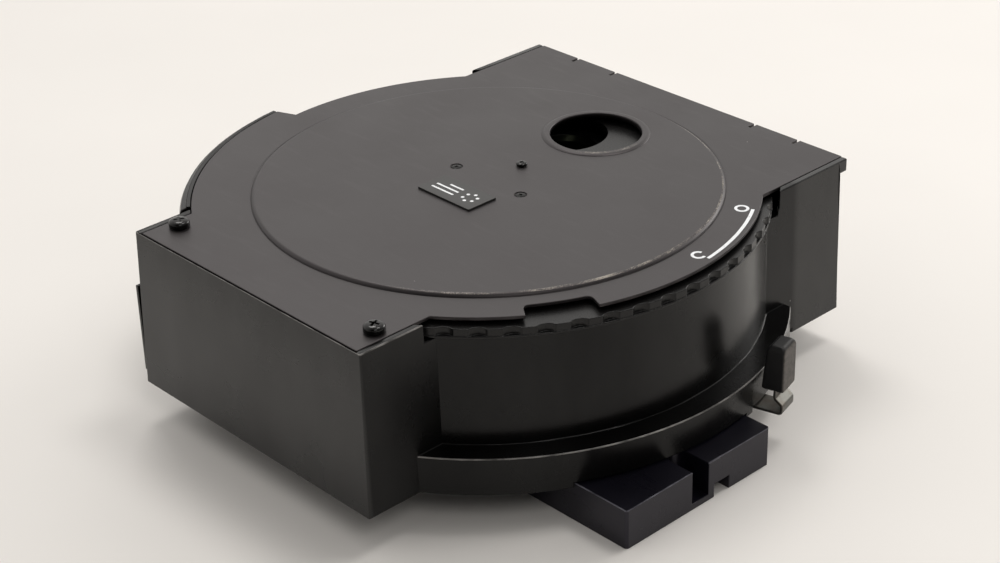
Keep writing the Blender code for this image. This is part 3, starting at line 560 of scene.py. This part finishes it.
def coordinates(n):
    """X, Y, Z and the distance from the turret's axis, in millimetres."""
    axes = n.tree.nodes.new("ShaderNodeSeparateXYZ")
    n.link(n.place, axes.inputs["Vector"])
    x, y, z = (axes.outputs[letter] for letter in "XYZ")
    squares = n.math("ADD", n.math("MULTIPLY", x, x), n.math("MULTIPLY", y, y))
    return x, y, z, n.math("SQRT", squares, 0.0)


def largest(n, values):
    total = values[0]
    for value in values[1:]:
        total = n.math("MAXIMUM", total, value)
    return total


def ridge_wear_and_glint(n):
    """Bright specks on the disc's ridge and on the near side of the lip: partly paint rubbed through, partly
    painted highlight, each band only on the side where a glint falls.
    """
    x, y = coordinates(n)[:2]
    grains = n.noise(0.32, 4.0, 0.7)
    places = n.noise(9.0, 2.0)
    specks = n.ramp(n.math("ADD", grains, n.math("MULTIPLY", places, 0.45)), 0.74, 0.84)
    bands = []
    for band_r, half_width, centre_x, towards in WEAR_AND_GLINT_BANDS:
        across = n.math("SUBTRACT", x, centre_x)
        squares = n.math("ADD", n.math("MULTIPLY", across, across), n.math("MULTIPLY", y, y))
        distance = n.math("ABSOLUTE", n.math("SUBTRACT", n.math("SQRT", squares, 0.0), band_r), 0.0)
        east, north = polar(1.0 / band_r, towards)
        side = n.math("ADD", n.math("MULTIPLY", across, east), n.math("MULTIPLY", y, north))
        bands.append(n.math("MULTIPLY", n.math("LESS_THAN", distance, half_width), n.ramp(side, 0.72, 0.92)))
    return n.math("MULTIPLY", largest(n, bands), specks)


def casting_edge_highlights(n):
    """Painted highlight lines along the housing's edges: the flange's outer edge and the top of the front
    box.
    """
    x, y, z, radius = coordinates(n)
    return edge_highlight_and_rub(n, [
        on_edge(n, (radius, FLANGE_R - EDGE_LINE_REACH), (z, FLANGE_Z - EDGE_LINE_REACH)),
        on_edge(n, (x, FRONT_X + EDGE_LINE_REACH), (z, TOP_Z - EDGE_LINE_REACH)),
        on_edge(n, (y, -FRONT_HALF + EDGE_LINE_REACH), (z, TOP_Z - EDGE_LINE_REACH)),
    ])


def block_edge_wear_and_highlights(n):
    """Lighter lines on the mount block's top edges and its near corner: partly rubbed anodising, partly
    painted highlight.
    """
    x, y, z = coordinates(n)[:3]
    return edge_highlight_and_rub(n, [
        on_edge(n, (y, BLOCK_Y + EDGE_LINE_REACH), (z, BLOCK_TOP - EDGE_LINE_REACH)),
        on_edge(n, (x, BLOCK_X + EDGE_LINE_REACH), (z, BLOCK_TOP - EDGE_LINE_REACH)),
        on_edge(n, (x, BLOCK_X + EDGE_LINE_REACH), (y, BLOCK_Y + EDGE_LINE_REACH)),
    ])


def flat_ends(n):
    """The paint is glossier on the flat front face and on the rear box than on the round wall."""
    x = coordinates(n)[0]
    front = n.ramp(x, FRONT_X - 0.4, FRONT_X + 0.6, END_GLOSS, WALL_GLOSS)
    rear = n.ramp(x, REAR_BOX_X, REAR_BOX_X + 3.0, WALL_GLOSS, END_GLOSS)
    smudges = n.ramp(n.noise(24.0, 3.0, 0.6, (1.0, 1.0, 0.5)), 0.3, 0.7, 0.86, 1.12)
    return n.math("MULTIPLY", n.math("MAXIMUM", front, rear), smudges)


def worn_steel(name, colour, roughness, tint):
    """Plated steel with a drawn grain and brownish worn patches."""
    n = Nodes(name)
    grain = n.noise(0.35, 3.0, 0.6, (1.0, 1.0, 0.1))
    patches = n.ramp(n.noise(4.0, 4.0), 0.45, 0.7, 0.0, 0.7)
    tone = n.mix(n.ramp(grain, 0.3, 0.7), times(0.85, colour), times(1.15, colour))
    tone = n.mix(patches, tone, tint)
    gloss = n.ramp(grain, 0.3, 0.7, roughness - 0.08, roughness + 0.1)
    return n.finish(tone, gloss, n.bump(grain, 0.01, 0.5), 0.9)


def machined(name, colour, roughness, metallic=1.0, gloss_level=0.5):
    """Turned or milled metal with a fine grain."""
    n = Nodes(name)
    fine = n.noise(0.4, 3.0, 0.6)
    broad = n.noise(12.0, 3.0)
    tone = n.mix(n.ramp(broad, 0.35, 0.65), times(0.85, colour), times(1.12, colour))
    gloss = n.ramp(fine, 0.3, 0.7, roughness - 0.06, roughness + 0.08)
    return n.finish(tone, gloss, n.bump(fine, 0.006, 0.5), metallic, Specular_IOR_Level=gloss_level)


def rubber_material():
    """Dark moulded rubber, rubbed grey-brown on the face that the finger pushes."""
    n = Nodes("rubber_moulded")
    fine = n.noise(0.25, 3.0)
    outwards = n.tree.nodes.new("ShaderNodeVectorMath")
    outwards.operation = "DOT_PRODUCT"
    outwards.inputs[1].default_value = (*polar(1.0, LEVER_ANGLE), 0.0)
    n.link(n.place, outwards.inputs[0])
    outer = n.ramp(outwards.outputs["Value"], CAP_FACE_R - 0.5, CAP_FACE_R - 0.1)
    patches = n.ramp(n.noise(1.6, 5.0, 0.65), 0.36, 0.62, 0.45, 1.0)
    tone = n.mix(n.math("MULTIPLY", outer, patches), (0.006, 0.006, 0.0065), (0.092, 0.080, 0.070))
    gloss = n.ramp(fine, 0.3, 0.7, 0.42, 0.54)
    return n.finish(tone, gloss, n.bump(fine, 0.02, 0.6), Specular_IOR_Level=0.3)


def coated_glass(name, colour, metallic):
    """Smooth glass whose coating reflects one colour."""
    n = Nodes(name)
    broad = n.noise(9.0, 2.0)
    tone = n.mix(n.ramp(broad, 0.3, 0.7), times(0.8, colour), times(1.2, colour))
    return n.finish(tone, n.ramp(broad, 0.3, 0.7, 0.04, 0.1), None, metallic)


def print_material(name, colour):
    """Ink with small worn places."""
    n = Nodes(name)
    worn = n.noise(0.9, 4.0, 0.7)
    tone = n.mix(n.ramp(worn, 0.28, 0.45), times(0.6, colour), colour)
    return n.finish(tone, n.ramp(worn, 0.3, 0.7, 0.5, 0.65))


# The casting's lighter edge lines are a painted highlight in a pale grey
PAINT = satin_paint("black_paint", (0.0020, 0.0019, 0.0019), 0.26, wear_and_highlight=casting_edge_highlights,
                    wear_and_highlight_colour=(0.26, 0.25, 0.24), ends=flat_ends)
# The cover's bright specks on the ridge and the lip are partly wear and partly painted highlight
COVER_PAINT = satin_paint("cover_paint", (0.0108, 0.0096, 0.0098), 0.42, shine=(1.0, 0.92, 0.945),
                          wear_and_highlight=ridge_wear_and_glint, wear_and_highlight_colour=WORN_AND_GLINT_COLOUR)
# The block's lighter edge lines are partly wear and partly painted highlight
BLOCK_FINISH = satin_paint("block_anodised", (0.0028, 0.0026, 0.0052), 0.30, 0.3, 0.006, 0.02,
                           (0.9, 0.86, 1.0), 0.45, wear_and_highlight=block_edge_wear_and_highlights, wear_and_highlight_colour=(0.12, 0.12, 0.14))
ANODISED = machined("black_anodised", (0.0028, 0.0028, 0.0032), 0.34, 0.0, gloss_level=0.24)
WHEEL_FINISH = machined("wheel_anodised", (0.004, 0.0038, 0.0038), 0.30, 0.0, gloss_level=0.3)
BLACK_STEEL = machined("black_steel", (0.002, 0.0019, 0.0017), 0.12, 0.0, gloss_level=0.35)
HUB_STEEL = machined("hub_screw_black", (0.002, 0.0019, 0.0017), 0.16, 0.0, gloss_level=0.14)
STEEL = machined("satin_steel", (0.52, 0.52, 0.50), 0.32)
BRASS = machined("brass_turned", (0.66, 0.48, 0.22), 0.30)
STRIP = worn_steel("strip_steel", (0.130, 0.130, 0.118), 0.38, tint=(0.090, 0.070, 0.054))
RUBBER = rubber_material()
FILTER_GLASS = coated_glass("filter_glass", (0.08, 0.14, 0.30), 0.5)
MIRROR_GLASS = coated_glass("mirror_glass", (0.45, 0.50, 0.32), 0.8)
WHITE_PRINT = print_material("white_print", (0.80, 0.82, 0.84))
LABEL_PLATE = satin_paint("label_plate_finish", (0.014, 0.0135, 0.013), 0.45, 0.5, 0.006, 0.02)


def dress(thing, material):
    thing.data.materials.clear()
    thing.data.materials.append(material)


def dress_cad():
    """Give every CAD node its finish and its softened edges."""
    finishes = {
        "housing_shell": (PAINT, 0.45),
        "loading_door": (PAINT, 0.35),
        "mount_block": (BLOCK_FINISH, 0.22),
        "door_hinge_leaf": (BLACK_STEEL, 0.2),
        "turret_axle": (STEEL, 0.2),
        "door_hinge_pin": (STEEL, 0.15),
        "shutter_blade": (STEEL, 0.1),
        "detent_post": (STEEL, 0.25),
        "detent_arm": (STEEL, 0.2),
        "roller_pin": (STEEL, 0.15),
        "detent_spring": (STEEL, 0.0),
        "rear_port_ring": (ANODISED, 0.25),
        "floor_port_ring": (ANODISED, 0.25),
        "turret_hub": (ANODISED, 0.3),
        "turret_base": (ANODISED, 0.25),
        "lower_bush": (BRASS, 0.15),
        "upper_bush": (BRASS, 0.15),
        "detent_roller": (BRASS, 0.25),
    }
    for number in range(1, CUBE_COUNT + 1):
        finishes[f"filter_cube_{number}"] = (ANODISED, 0.3)
        finishes[f"exciter_filter_{number}"] = (FILTER_GLASS, 0.15)
        finishes[f"dichroic_{number}"] = (MIRROR_GLASS, 0.1)
    for number in range(1, 4):
        finishes[f"turret_post_{number}"] = (STEEL, 0.2)
        finishes[f"shutter_guide_screw_{number}"] = (STEEL, 0.2)
    for number in range(1, 5):
        finishes[f"block_screw_{number}"] = (STEEL, 0.25)
    for number in range(1, 3):
        finishes[f"lever_rivet_{number}"] = (STRIP, 0.15)
    for node, (material, edge) in finishes.items():
        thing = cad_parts[node]
        dress(thing, material)
        if edge > 0.0:
            soften(thing, edge)
        else:
            thing.data.shade_smooth()


# ---------------------------------------------------------------- pieces

def thumb_notch():
    """The floor of the thumb notch and its two rounded inner corners."""
    start, end = THUMB_ANGLES
    outside = COVER_ARC_R + 5.0
    floor = arc(THUMB_R, start, end, 1.0)
    first = round_corner(polar(outside, start), floor[0], floor[2], THUMB_CORNER)
    last = round_corner(floor[-3], floor[-1], polar(outside, end), THUMB_CORNER)
    return first + floor[3:-3] + last


def cover_outline():
    """The sheet's outline: straight ends, arcs at the sides, thumb notch and relief slits."""
    near_start = -180.0 + math.degrees(math.asin(COVER_FRONT_HALF / COVER_ARC_R))
    near_end = -math.degrees(math.asin(COVER_REAR_HALF / COVER_ARC_R))
    door_end = 180.0 - math.degrees(math.asin(COVER_FRONT_HALF / COVER_DOOR_R))
    points = [(COVER_FRONT_X, -COVER_FRONT_HALF)]
    points += arc(COVER_ARC_R, near_start, THUMB_ANGLES[0])
    points += thumb_notch()
    points += arc(COVER_ARC_R, THUMB_ANGLES[1], near_end)
    points.append((COVER_REAR_X, -COVER_REAR_HALF))
    slit_end = COVER_REAR_X - SLIT_LENGTH
    for y in SLIT_Y:
        low = y - 0.5 * SLIT_WIDTH
        high = y + 0.5 * SLIT_WIDTH
        points += [(COVER_REAR_X, low), (slit_end, low), (slit_end, high), (COVER_REAR_X, high)]
    points.append((COVER_REAR_X, COVER_REAR_HALF))
    points += arc(COVER_ARC_R, -near_end, COVER_DOOR_ANGLES[0])
    points += arc(COVER_DOOR_R, COVER_DOOR_ANGLES[1], door_end)
    points.append((COVER_FRONT_X, COVER_FRONT_HALF))
    return points


def flared_hole(name, radius, floor, top, flare, steps=64, centre=(0.0, 0.0)):
    """A cutter for a round hole whose upper edge is rounded."""
    profile = [(0.0, floor), (radius, floor)]
    for i in range(FLARE_STEPS + 1):
        bend = math.radians(90.0 * i / FLARE_STEPS)
        profile.append((radius + flare * (1.0 - math.cos(bend)), top - flare * (1.0 - math.sin(bend))))
    above = top + 0.3
    profile += [(radius + 2.0 * flare, above), (0.0, above)]
    return turned(name, profile, steps, centre)


def rising_edge(outer_r, foot, rise, slope, bend):
    """Points from an edge's foot inwards and up, steep at first and level at the end."""
    points = []
    for i in range(1, SLOPE_STEPS + 1):
        inwards = i / SLOPE_STEPS
        points.append((outer_r - slope * inwards, foot + rise * (1.0 - (1.0 - inwards) ** bend)))
    return points


def raise_disc(cover):
    """The raised disc, the fine groove around it and the hollow under it."""
    low = TOP_Z - 0.5
    profile = [(0.0, low), (DISC_R, low), (DISC_R, TOP_Z + OVERLAP)]
    profile += rising_edge(DISC_R, TOP_Z, DISC_RISE, DISC_SLOPE, RIDGE_BEND) + [(0.0, DISC_TOP)]
    join(cover, turned("disc", profile, DISC_STEPS))
    inner = DISC_R + OVERLAP
    above = TOP_Z + 0.1
    floor = TOP_Z - GROOVE_DEPTH
    profile = [(inner, above), (inner, floor), (inner + GROOVE_FLOOR, floor), (inner + GROOVE_WIDTH, above)]
    cut(cover, turned("ridge_groove", profile, DISC_STEPS))
    low = COVER_Z - 1.0
    high = COVER_Z + DISC_RISE
    cut(cover, turned("under", [(0.0, low), (UNDER_R, low), (UNDER_R, high), (0.0, high)], 180))


def raise_lip(cover):
    """The light hole and the raised lip around it."""
    inner = LIGHT_HOLE_R - 1.0
    low = DISC_TOP - 0.6
    profile = [(inner, low), (LIP_R, low), (LIP_R, DISC_TOP + 0.005)]
    profile += rising_edge(LIP_R, DISC_TOP, LIP_RISE, LIP_SLOPE, LIP_BEND)
    profile.append((inner, DISC_TOP + LIP_RISE))
    centre = (LIGHT_HOLE_X, 0.0)
    join(cover, turned("lip", profile, LIP_STEPS, centre))
    below = COVER_Z - 2.0
    top = DISC_TOP + LIP_RISE
    cut(cover, flared_hole("light_hole", LIGHT_HOLE_R, below, top, LIGHT_HOLE_FLARE, LIP_STEPS, centre))


def drill_cover(cover):
    """The holes of the cover screws and of the centre screws, two of them with a sunk seat."""
    below = COVER_Z - 2.0
    steps = 32
    for centre in COVER_SCREWS:
        cut(cover, flared_hole("screw_hole", COVER_HOLE_R, below, TOP_Z, SCREW_HOLE_FLARE, steps, centre))
    hole = flared_hole("screw_hole", CENTRE_HOLE_R, below, DISC_TOP, SCREW_HOLE_FLARE, steps, PROUD_SCREW)
    cut(cover, hole)
    for centre in FLUSH_SCREWS:
        cut(cover, prism("screw_hole", circle(CENTRE_HOLE_R, steps, centre), below, TOP_Z + 3.0))
        seat_z = DISC_TOP - SEAT_DEPTH
        cut(cover, flared_hole("screw_seat", SEAT_R, seat_z, DISC_TOP, SCREW_HOLE_FLARE, steps, centre))


def add_tabs(cover):
    """The two tabs bent down over the rear box."""
    for side in (-1.0, 1.0):
        edges = sorted((side * TAB_Y[0], side * TAB_Y[1]))
        tab = rectangle(COVER_REAR_X - COVER_T, COVER_REAR_X - 0.01, edges[0], edges[1])
        join(cover, settle(soften(prism("tab", tab, TOP_Z - TAB_DROP, TOP_Z - 0.4), TAB_EDGE)))


def make_cover():
    """Pressed sheet with its raised disc, the lip of the light hole, notch, slits and tabs."""
    cover = settle(soften(prism("cover_pressing", cover_outline(), COVER_Z, TOP_Z), COVER_EDGE))
    raise_disc(cover)
    raise_lip(cover)
    drill_cover(cover)
    add_tabs(cover)
    level_normals(cover)
    dress(cover, COVER_PAINT)
    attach(cover, "housing")
    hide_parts("top_cover")


def scallop_radius(offset):
    """The wheel's radius at an angle in radians from a scallop's middle."""
    sideways = SCALLOP_CENTRE_R * math.sin(offset)
    if abs(sideways) >= SCALLOP_R:
        return PLAIN_R
    return min(PLAIN_R, SCALLOP_CENTRE_R * math.cos(offset) - math.sqrt(SCALLOP_R ** 2 - sideways ** 2))


def scalloped_blank():
    """The wheel's body: plain below, scalloped above the scallops' floor."""
    pitch = 360.0 / SCALLOP_COUNT
    squares = WHEEL_R ** 2 + SCALLOP_CENTRE_R ** 2 - SCALLOP_R ** 2
    half_width = math.acos(squares / (2 * WHEEL_R * SCALLOP_CENTRE_R))
    plain = []
    scalloped = []
    for k in range(SCALLOP_COUNT):
        for share in SCALLOP_STEPS:
            angle = k * pitch + math.degrees(share * half_width) + SCALLOP_TURN
            plain.append(polar(WHEEL_R, angle))
            scalloped.append(polar(scallop_radius(share * half_width), angle))
    floor = wheel_low.z + SCALLOP_FLOOR
    sections = ((plain, wheel_low.z), (plain, floor), (scalloped, floor), (scalloped, wheel_high.z))
    return loft("scalloped_wheel", [[(x, y, z) for x, y in outline] for outline, z in sections])


def make_wheel():
    """The scalloped wheel with its bore and one light hole over each cube."""
    wheel = settle(soften(scalloped_blank(), 0.25))
    below = wheel_low.z - 1.0
    cut(wheel, flared_hole("wheel_bore", WHEEL_BORE_R, below, wheel_high.z, 0.2))
    for k in range(CUBE_COUNT):
        centre = polar(LIGHT_HOLE_X, 360.0 / CUBE_COUNT * k + TURRET_TURN)
        cut(wheel, flared_hole("wheel_hole", WHEEL_HOLE_R, below, wheel_high.z, 0.3, 96, centre))
    level_normals(wheel)
    dress(wheel, WHEEL_FINISH)
    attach(wheel, "turret")
    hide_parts("turret_wheel")


def recess_arm(length, width, depth, top, centre, turn):
    """A tapered cutter for one arm of a cross recess."""
    rows = []
    for z, grow in ((top - depth, 0.4), (top + 0.5, 1.25)):
        corners = rectangle(-length * grow, length * grow, -0.5 * width, 0.5 * width)
        rows.append([(x, y, z) for x, y in turned_outline(corners, centre, turn)])
    return loft("recess_arm", rows)


def make_screw(name, node, centre, radius, height, turn, material):
    """A domed pan head with a cross recess, on a short shank."""
    low, high = box_mm(node)
    head_z = high.z - height
    steps = 8
    dome = []
    for i in range(steps + 1):
        t = math.radians(90.0 * i / steps)
        dome.append((radius - 0.32 * radius * (1.0 - math.cos(t)) - 0.68 * radius * (i / steps) ** 3,
                     head_z + 0.45 * height + 0.55 * height * math.sin(t)))
    dome[-1] = (0.0, high.z)
    shank = 0.42 * radius
    profile = [(0.0, low.z), (shank, low.z), (shank, head_z)]
    profile += [(radius - 0.15, head_z), (radius, head_z + 0.15)]
    screw = turned(name, profile + dome, 48, centre)
    for angle in (turn, turn + 90.0):
        cut(screw, recess_arm(0.52 * radius, 0.24 * radius, 0.62 * height, high.z, centre, angle))
    soften(screw, 0.06, 2, 40.0)
    dress(screw, material)
    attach(screw, "housing")
    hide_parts(node)


def make_screws():
    """The two pan screws of the cover and the three small screws at its centre."""
    for name, node, centre, turn in (
        ("pan_screw_near", "cover_screw_near", COVER_SCREWS[0], 20.0),
        ("pan_screw_far", "cover_screw_far", COVER_SCREWS[1], 62.0),
    ):
        make_screw(name, node, centre, 3.5, 2.6, turn, BLACK_STEEL)
    make_screw("hub_screw_1", "centre_screw_1", PROUD_SCREW, 1.95, 1.1, 10.0, BLACK_STEEL)
    for name, node, centre, turn in (
        ("hub_screw_2", "centre_screw_2", FLUSH_SCREWS[0], 35.0),
        ("hub_screw_3", "centre_screw_3", FLUSH_SCREWS[1], 70.0),
    ):
        make_screw(name, node, centre, 1.9, 0.55, turn, HUB_STEEL)


def swept_strip(name, path, half_width):
    """A flat strip that follows a path in the plane of (radius, height)."""
    corners = ((1.0, -half_width), (1.0, half_width), (-1.0, half_width), (-1.0, -half_width))
    rows = []
    for i, (r, z) in enumerate(path):
        before = Vector(path[max(i - 1, 0)])
        after = Vector(path[min(i + 1, len(path) - 1)])
        along = (after - before).normalized()
        side = Vector((-along.y, along.x)) * 0.5 * STRIP_T
        rows.append([(r + sign * side.x, half, z + sign * side.y) for sign, half in corners])
    return loft(name, rows)


def turn_to_lever(thing):
    """Turn a piece made along +X to the lever's angle."""
    thing.data.transform(Matrix.Rotation(math.radians(LEVER_ANGLE), 4, "Z"))


def make_lever_strip():
    """The bent strip: flat along the floor, up around a bend, set back, then straight into the cap."""
    path = [(STRIP_INNER_R, STRIP_LOW), (95.0, STRIP_LOW), (105.0, STRIP_LOW)]
    bend = arc(STRIP_BEND, -90.0, 0.0, 15.0)
    path += [(STRIP_OUTER_R - STRIP_BEND + r, STRIP_LOW + STRIP_BEND + z) for r, z in bend]
    foot = STRIP_LOW + 2.4
    path.append((STRIP_OUTER_R, foot))
    path += [(STRIP_OUTER_R - 0.25 * t * t, foot + 0.9 * t) for t in (0.5, 1.0)]
    path += [(STRIP_BACK_R + 0.25, STRIP_LOW + 5.0), (STRIP_BACK_R, STRIP_LOW + 5.8)]
    path.append((STRIP_BACK_R, STRIP_LOW + STRIP_HEIGHT))
    strip = swept_strip("lever_bent_strip", path, 0.5 * LEVER_WIDTH)
    turn_to_lever(strip)
    soften(strip, 0.22)
    dress(strip, STRIP)
    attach(strip, "shutter")
    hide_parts("lever_strip")


def make_lever_cap():
    """The moulded cap: thinner towards its rounded top, with a slot for the strip."""
    rows = []
    height = cap_high.z - cap_low.z - CAP_PLAY
    # Height of each section, its inner and outer radius and half its width
    for z, inner, outer, half in (
        (0.3, 105.6, CAP_FACE_R - 0.3, 4.4),
        (0.9, 105.5, CAP_FACE_R, 4.8),
        (1.8, 105.6, CAP_FACE_R, 4.9),
        (0.5 * height, 106.2, CAP_FACE_R, 4.9),
        (height - 2.0, 107.0, CAP_FACE_R, 4.8),
        (height - 1.0, 107.3, CAP_FACE_R - 0.25, 4.5),
        (height - 0.3, 107.9, CAP_FACE_R - 0.9, 3.9),
        (height, 108.8, CAP_FACE_R - 1.9, 3.2),
    ):
        corners = rounded(rectangle(inner, outer, -half, half), CAP_CORNER, 4)
        rows.append([(r, y, cap_low.z + z) for r, y in corners])
    cap = loft("moulded_cap", rows)
    sleeve = rectangle(*SLEEVE_R, -SLEEVE_HALF, SLEEVE_HALF)
    cut(cap, prism("sleeve", sleeve, cap_low.z - 1.0, cap_low.z + SLEEVE_DEPTH))
    turn_to_lever(cap)
    soften(cap, 0.08, 2, 60.0)
    dress(cap, RUBBER)
    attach(cap, "shutter")
    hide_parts("lever_cap")


def printed(name, outline, z):
    """Thin ink on a flat face."""
    ink = prism(name, outline, z + PRINT_GAP, z + PRINT_T)
    dress(ink, WHITE_PRINT)
    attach(ink, "housing")


def make_scale():
    """The white arc between C, closed, and O, open."""
    bar = ring_sector(SCALE_R - SCALE_HALF, SCALE_R + SCALE_HALF, *SCALE_ANGLES, 0.7)
    printed("scale_arc", bar, TOP_Z)
    c_at = polar(LETTER_R, LETTER_ANGLES[0])
    o_at = polar(LETTER_R, LETTER_ANGLES[1])
    inner_r = LETTER_SIZE - STROKE_HALF
    outer_r = LETTER_SIZE + STROKE_HALF
    c_shape = ring_sector(inner_r, outer_r, 40.0, 320.0, 10.0)
    printed("letter_c", turned_outline(c_shape, c_at, LETTER_ANGLES[0] + 55.0), TOP_Z)
    ring = prism("letter_o", circle(outer_r, 48, o_at), TOP_Z + PRINT_GAP, TOP_Z + PRINT_T)
    cut(ring, prism("inside", circle(inner_r, 48, o_at), TOP_Z - 1.0, TOP_Z + 1.0))
    dress(ring, WHITE_PRINT)
    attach(ring, "housing")


def make_label():
    """A plain plate with a generic mark: a turret's ring of six dots and three rules."""
    outline = rounded(rectangle(plate_low.x, plate_high.x, plate_low.y, plate_high.y), 0.5)
    plate = prism("name_plate", outline, plate_low.z - 0.28, plate_high.z)
    soften(plate, 0.06, 2)
    dress(plate, LABEL_PLATE)
    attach(plate, "housing")
    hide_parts("label_plate")
    centre_x = 0.5 * (plate_low.x + plate_high.x)
    top = plate_high.z
    for k in range(MARK_DOTS):
        dx, dy = polar(MARK_RING_R, 360.0 / MARK_DOTS * k)
        printed(f"label_dot_{k + 1}", circle(MARK_DOT_R, 24, (centre_x + dx, MARK_DOTS_Y + dy)), top)
    for k, length in enumerate(MARK_RULES):
        x = centre_x + MARK_PITCH * (k - 1)
        rule = rectangle(x - MARK_RULE_HALF, x + MARK_RULE_HALF, MARK_RULES_Y, MARK_RULES_Y + length)
        printed(f"label_rule_{k + 1}", rule, top)


# ---------------------------------------------------------------- stage

def make_stage():
    """A pale floor under the object."""
    shape = bmesh.new()
    corners = rectangle(-FLOOR_HALF, FLOOR_HALF, -FLOOR_HALF, FLOOR_HALF)
    shape.faces.new([shape.verts.new((x, y, 0.0)) for x, y in corners])
    floor = solid("floor", shape)
    n = Nodes("pale_floor")
    tone = n.mix(n.ramp(n.noise(180.0, 3.0), 0.3, 0.7), (0.78, 0.758, 0.73), (0.81, 0.788, 0.76))
    dress(floor, n.finish(tone, 0.6, Specular_IOR_Level=0.2))


def make_camera():
    """The camera stands at the object's near left, looking down on it."""
    data = bpy.data.cameras.new("camera")
    data.sensor_width = SENSOR_WIDTH
    data.lens = CAMERA_LENS
    data.clip_start = 0.01
    data.clip_end = 50.0
    camera = bpy.data.objects.new("camera", data)
    bpy.context.scene.collection.objects.link(camera)
    level = math.cos(CAMERA_ELEVATION)
    look = Vector((
        math.sin(CAMERA_AZIMUTH) * level,
        math.cos(CAMERA_AZIMUTH) * level,
        -math.sin(CAMERA_ELEVATION),
    ))
    right = look.cross(Vector((0.0, 0.0, 1.0))).normalized()
    up = right.cross(look)
    side = math.cos(CAMERA_ROLL) * right + math.sin(CAMERA_ROLL) * up
    rise = -math.sin(CAMERA_ROLL) * right + math.cos(CAMERA_ROLL) * up
    turn = Matrix((side, rise, -look)).transposed().to_4x4()
    camera.matrix_world = Matrix.Translation(Vector(CAMERA_PLACE) * MM) @ turn
    bpy.context.scene.camera = camera


def area_light(name, at, size, power):
    """A rectangular soft lamp that points at the object."""
    data = bpy.data.lights.new(name, "AREA")
    data.shape = "RECTANGLE"
    data.size, data.size_y = size
    data.energy = power
    data.color = LIGHT_COLOUR
    lamp = bpy.data.objects.new(name, data)
    bpy.context.scene.collection.objects.link(lamp)
    lamp.location = at
    lamp.rotation_mode = "QUATERNION"
    lamp.rotation_quaternion = (-Vector(at)).to_track_quat("-Z", "Y")


def sky_lobe(tree, direction, low, high, power, strength):
    """Brightness that rises towards one direction of the studio."""
    coordinates = tree.nodes.new("ShaderNodeTexCoord")
    dot = tree.nodes.new("ShaderNodeVectorMath")
    dot.operation = "DOT_PRODUCT"
    dot.inputs[1].default_value = Vector(direction).normalized()
    tree.links.new(coordinates.outputs["Generated"], dot.inputs[0])
    span = tree.nodes.new("ShaderNodeMapRange")
    span.inputs["From Min"].default_value = low
    span.inputs["From Max"].default_value = high
    tree.links.new(dot.outputs["Value"], span.inputs["Value"])
    curve = tree.nodes.new("ShaderNodeMath")
    curve.operation = "POWER"
    curve.inputs[1].default_value = power
    tree.links.new(span.outputs["Result"], curve.inputs[0])
    scaled = tree.nodes.new("ShaderNodeMath")
    scaled.operation = "MULTIPLY"
    scaled.inputs[1].default_value = strength
    tree.links.new(curve.outputs["Value"], scaled.inputs[0])
    return scaled.outputs["Value"]


def make_light():
    """A pale room, brightest behind the object, with four broad soft lamps."""
    world = bpy.data.worlds.new("studio")
    bpy.context.scene.world = world
    world.use_nodes = True
    tree = world.node_tree
    background = tree.nodes["Background"]
    background.inputs["Color"].default_value = (*LIGHT_COLOUR, 1.0)
    total = None
    for lobe in ROOM_LOBES:
        value = sky_lobe(tree, *lobe)
        if total:
            add = tree.nodes.new("ShaderNodeMath")
            add.operation = "ADD"
            tree.links.new(total, add.inputs[0])
            tree.links.new(value, add.inputs[1])
            value = add.outputs["Value"]
        total = value
    tree.links.new(total, background.inputs["Strength"])
    for lamp in LAMPS:
        area_light(*lamp)
    bpy.context.scene.view_settings.view_transform = "Standard"


make_camera()
make_stage()
make_light()
dress_cad()
make_cover()
make_wheel()
make_screws()
make_lever_strip()
make_lever_cap()
make_scale()
make_label()
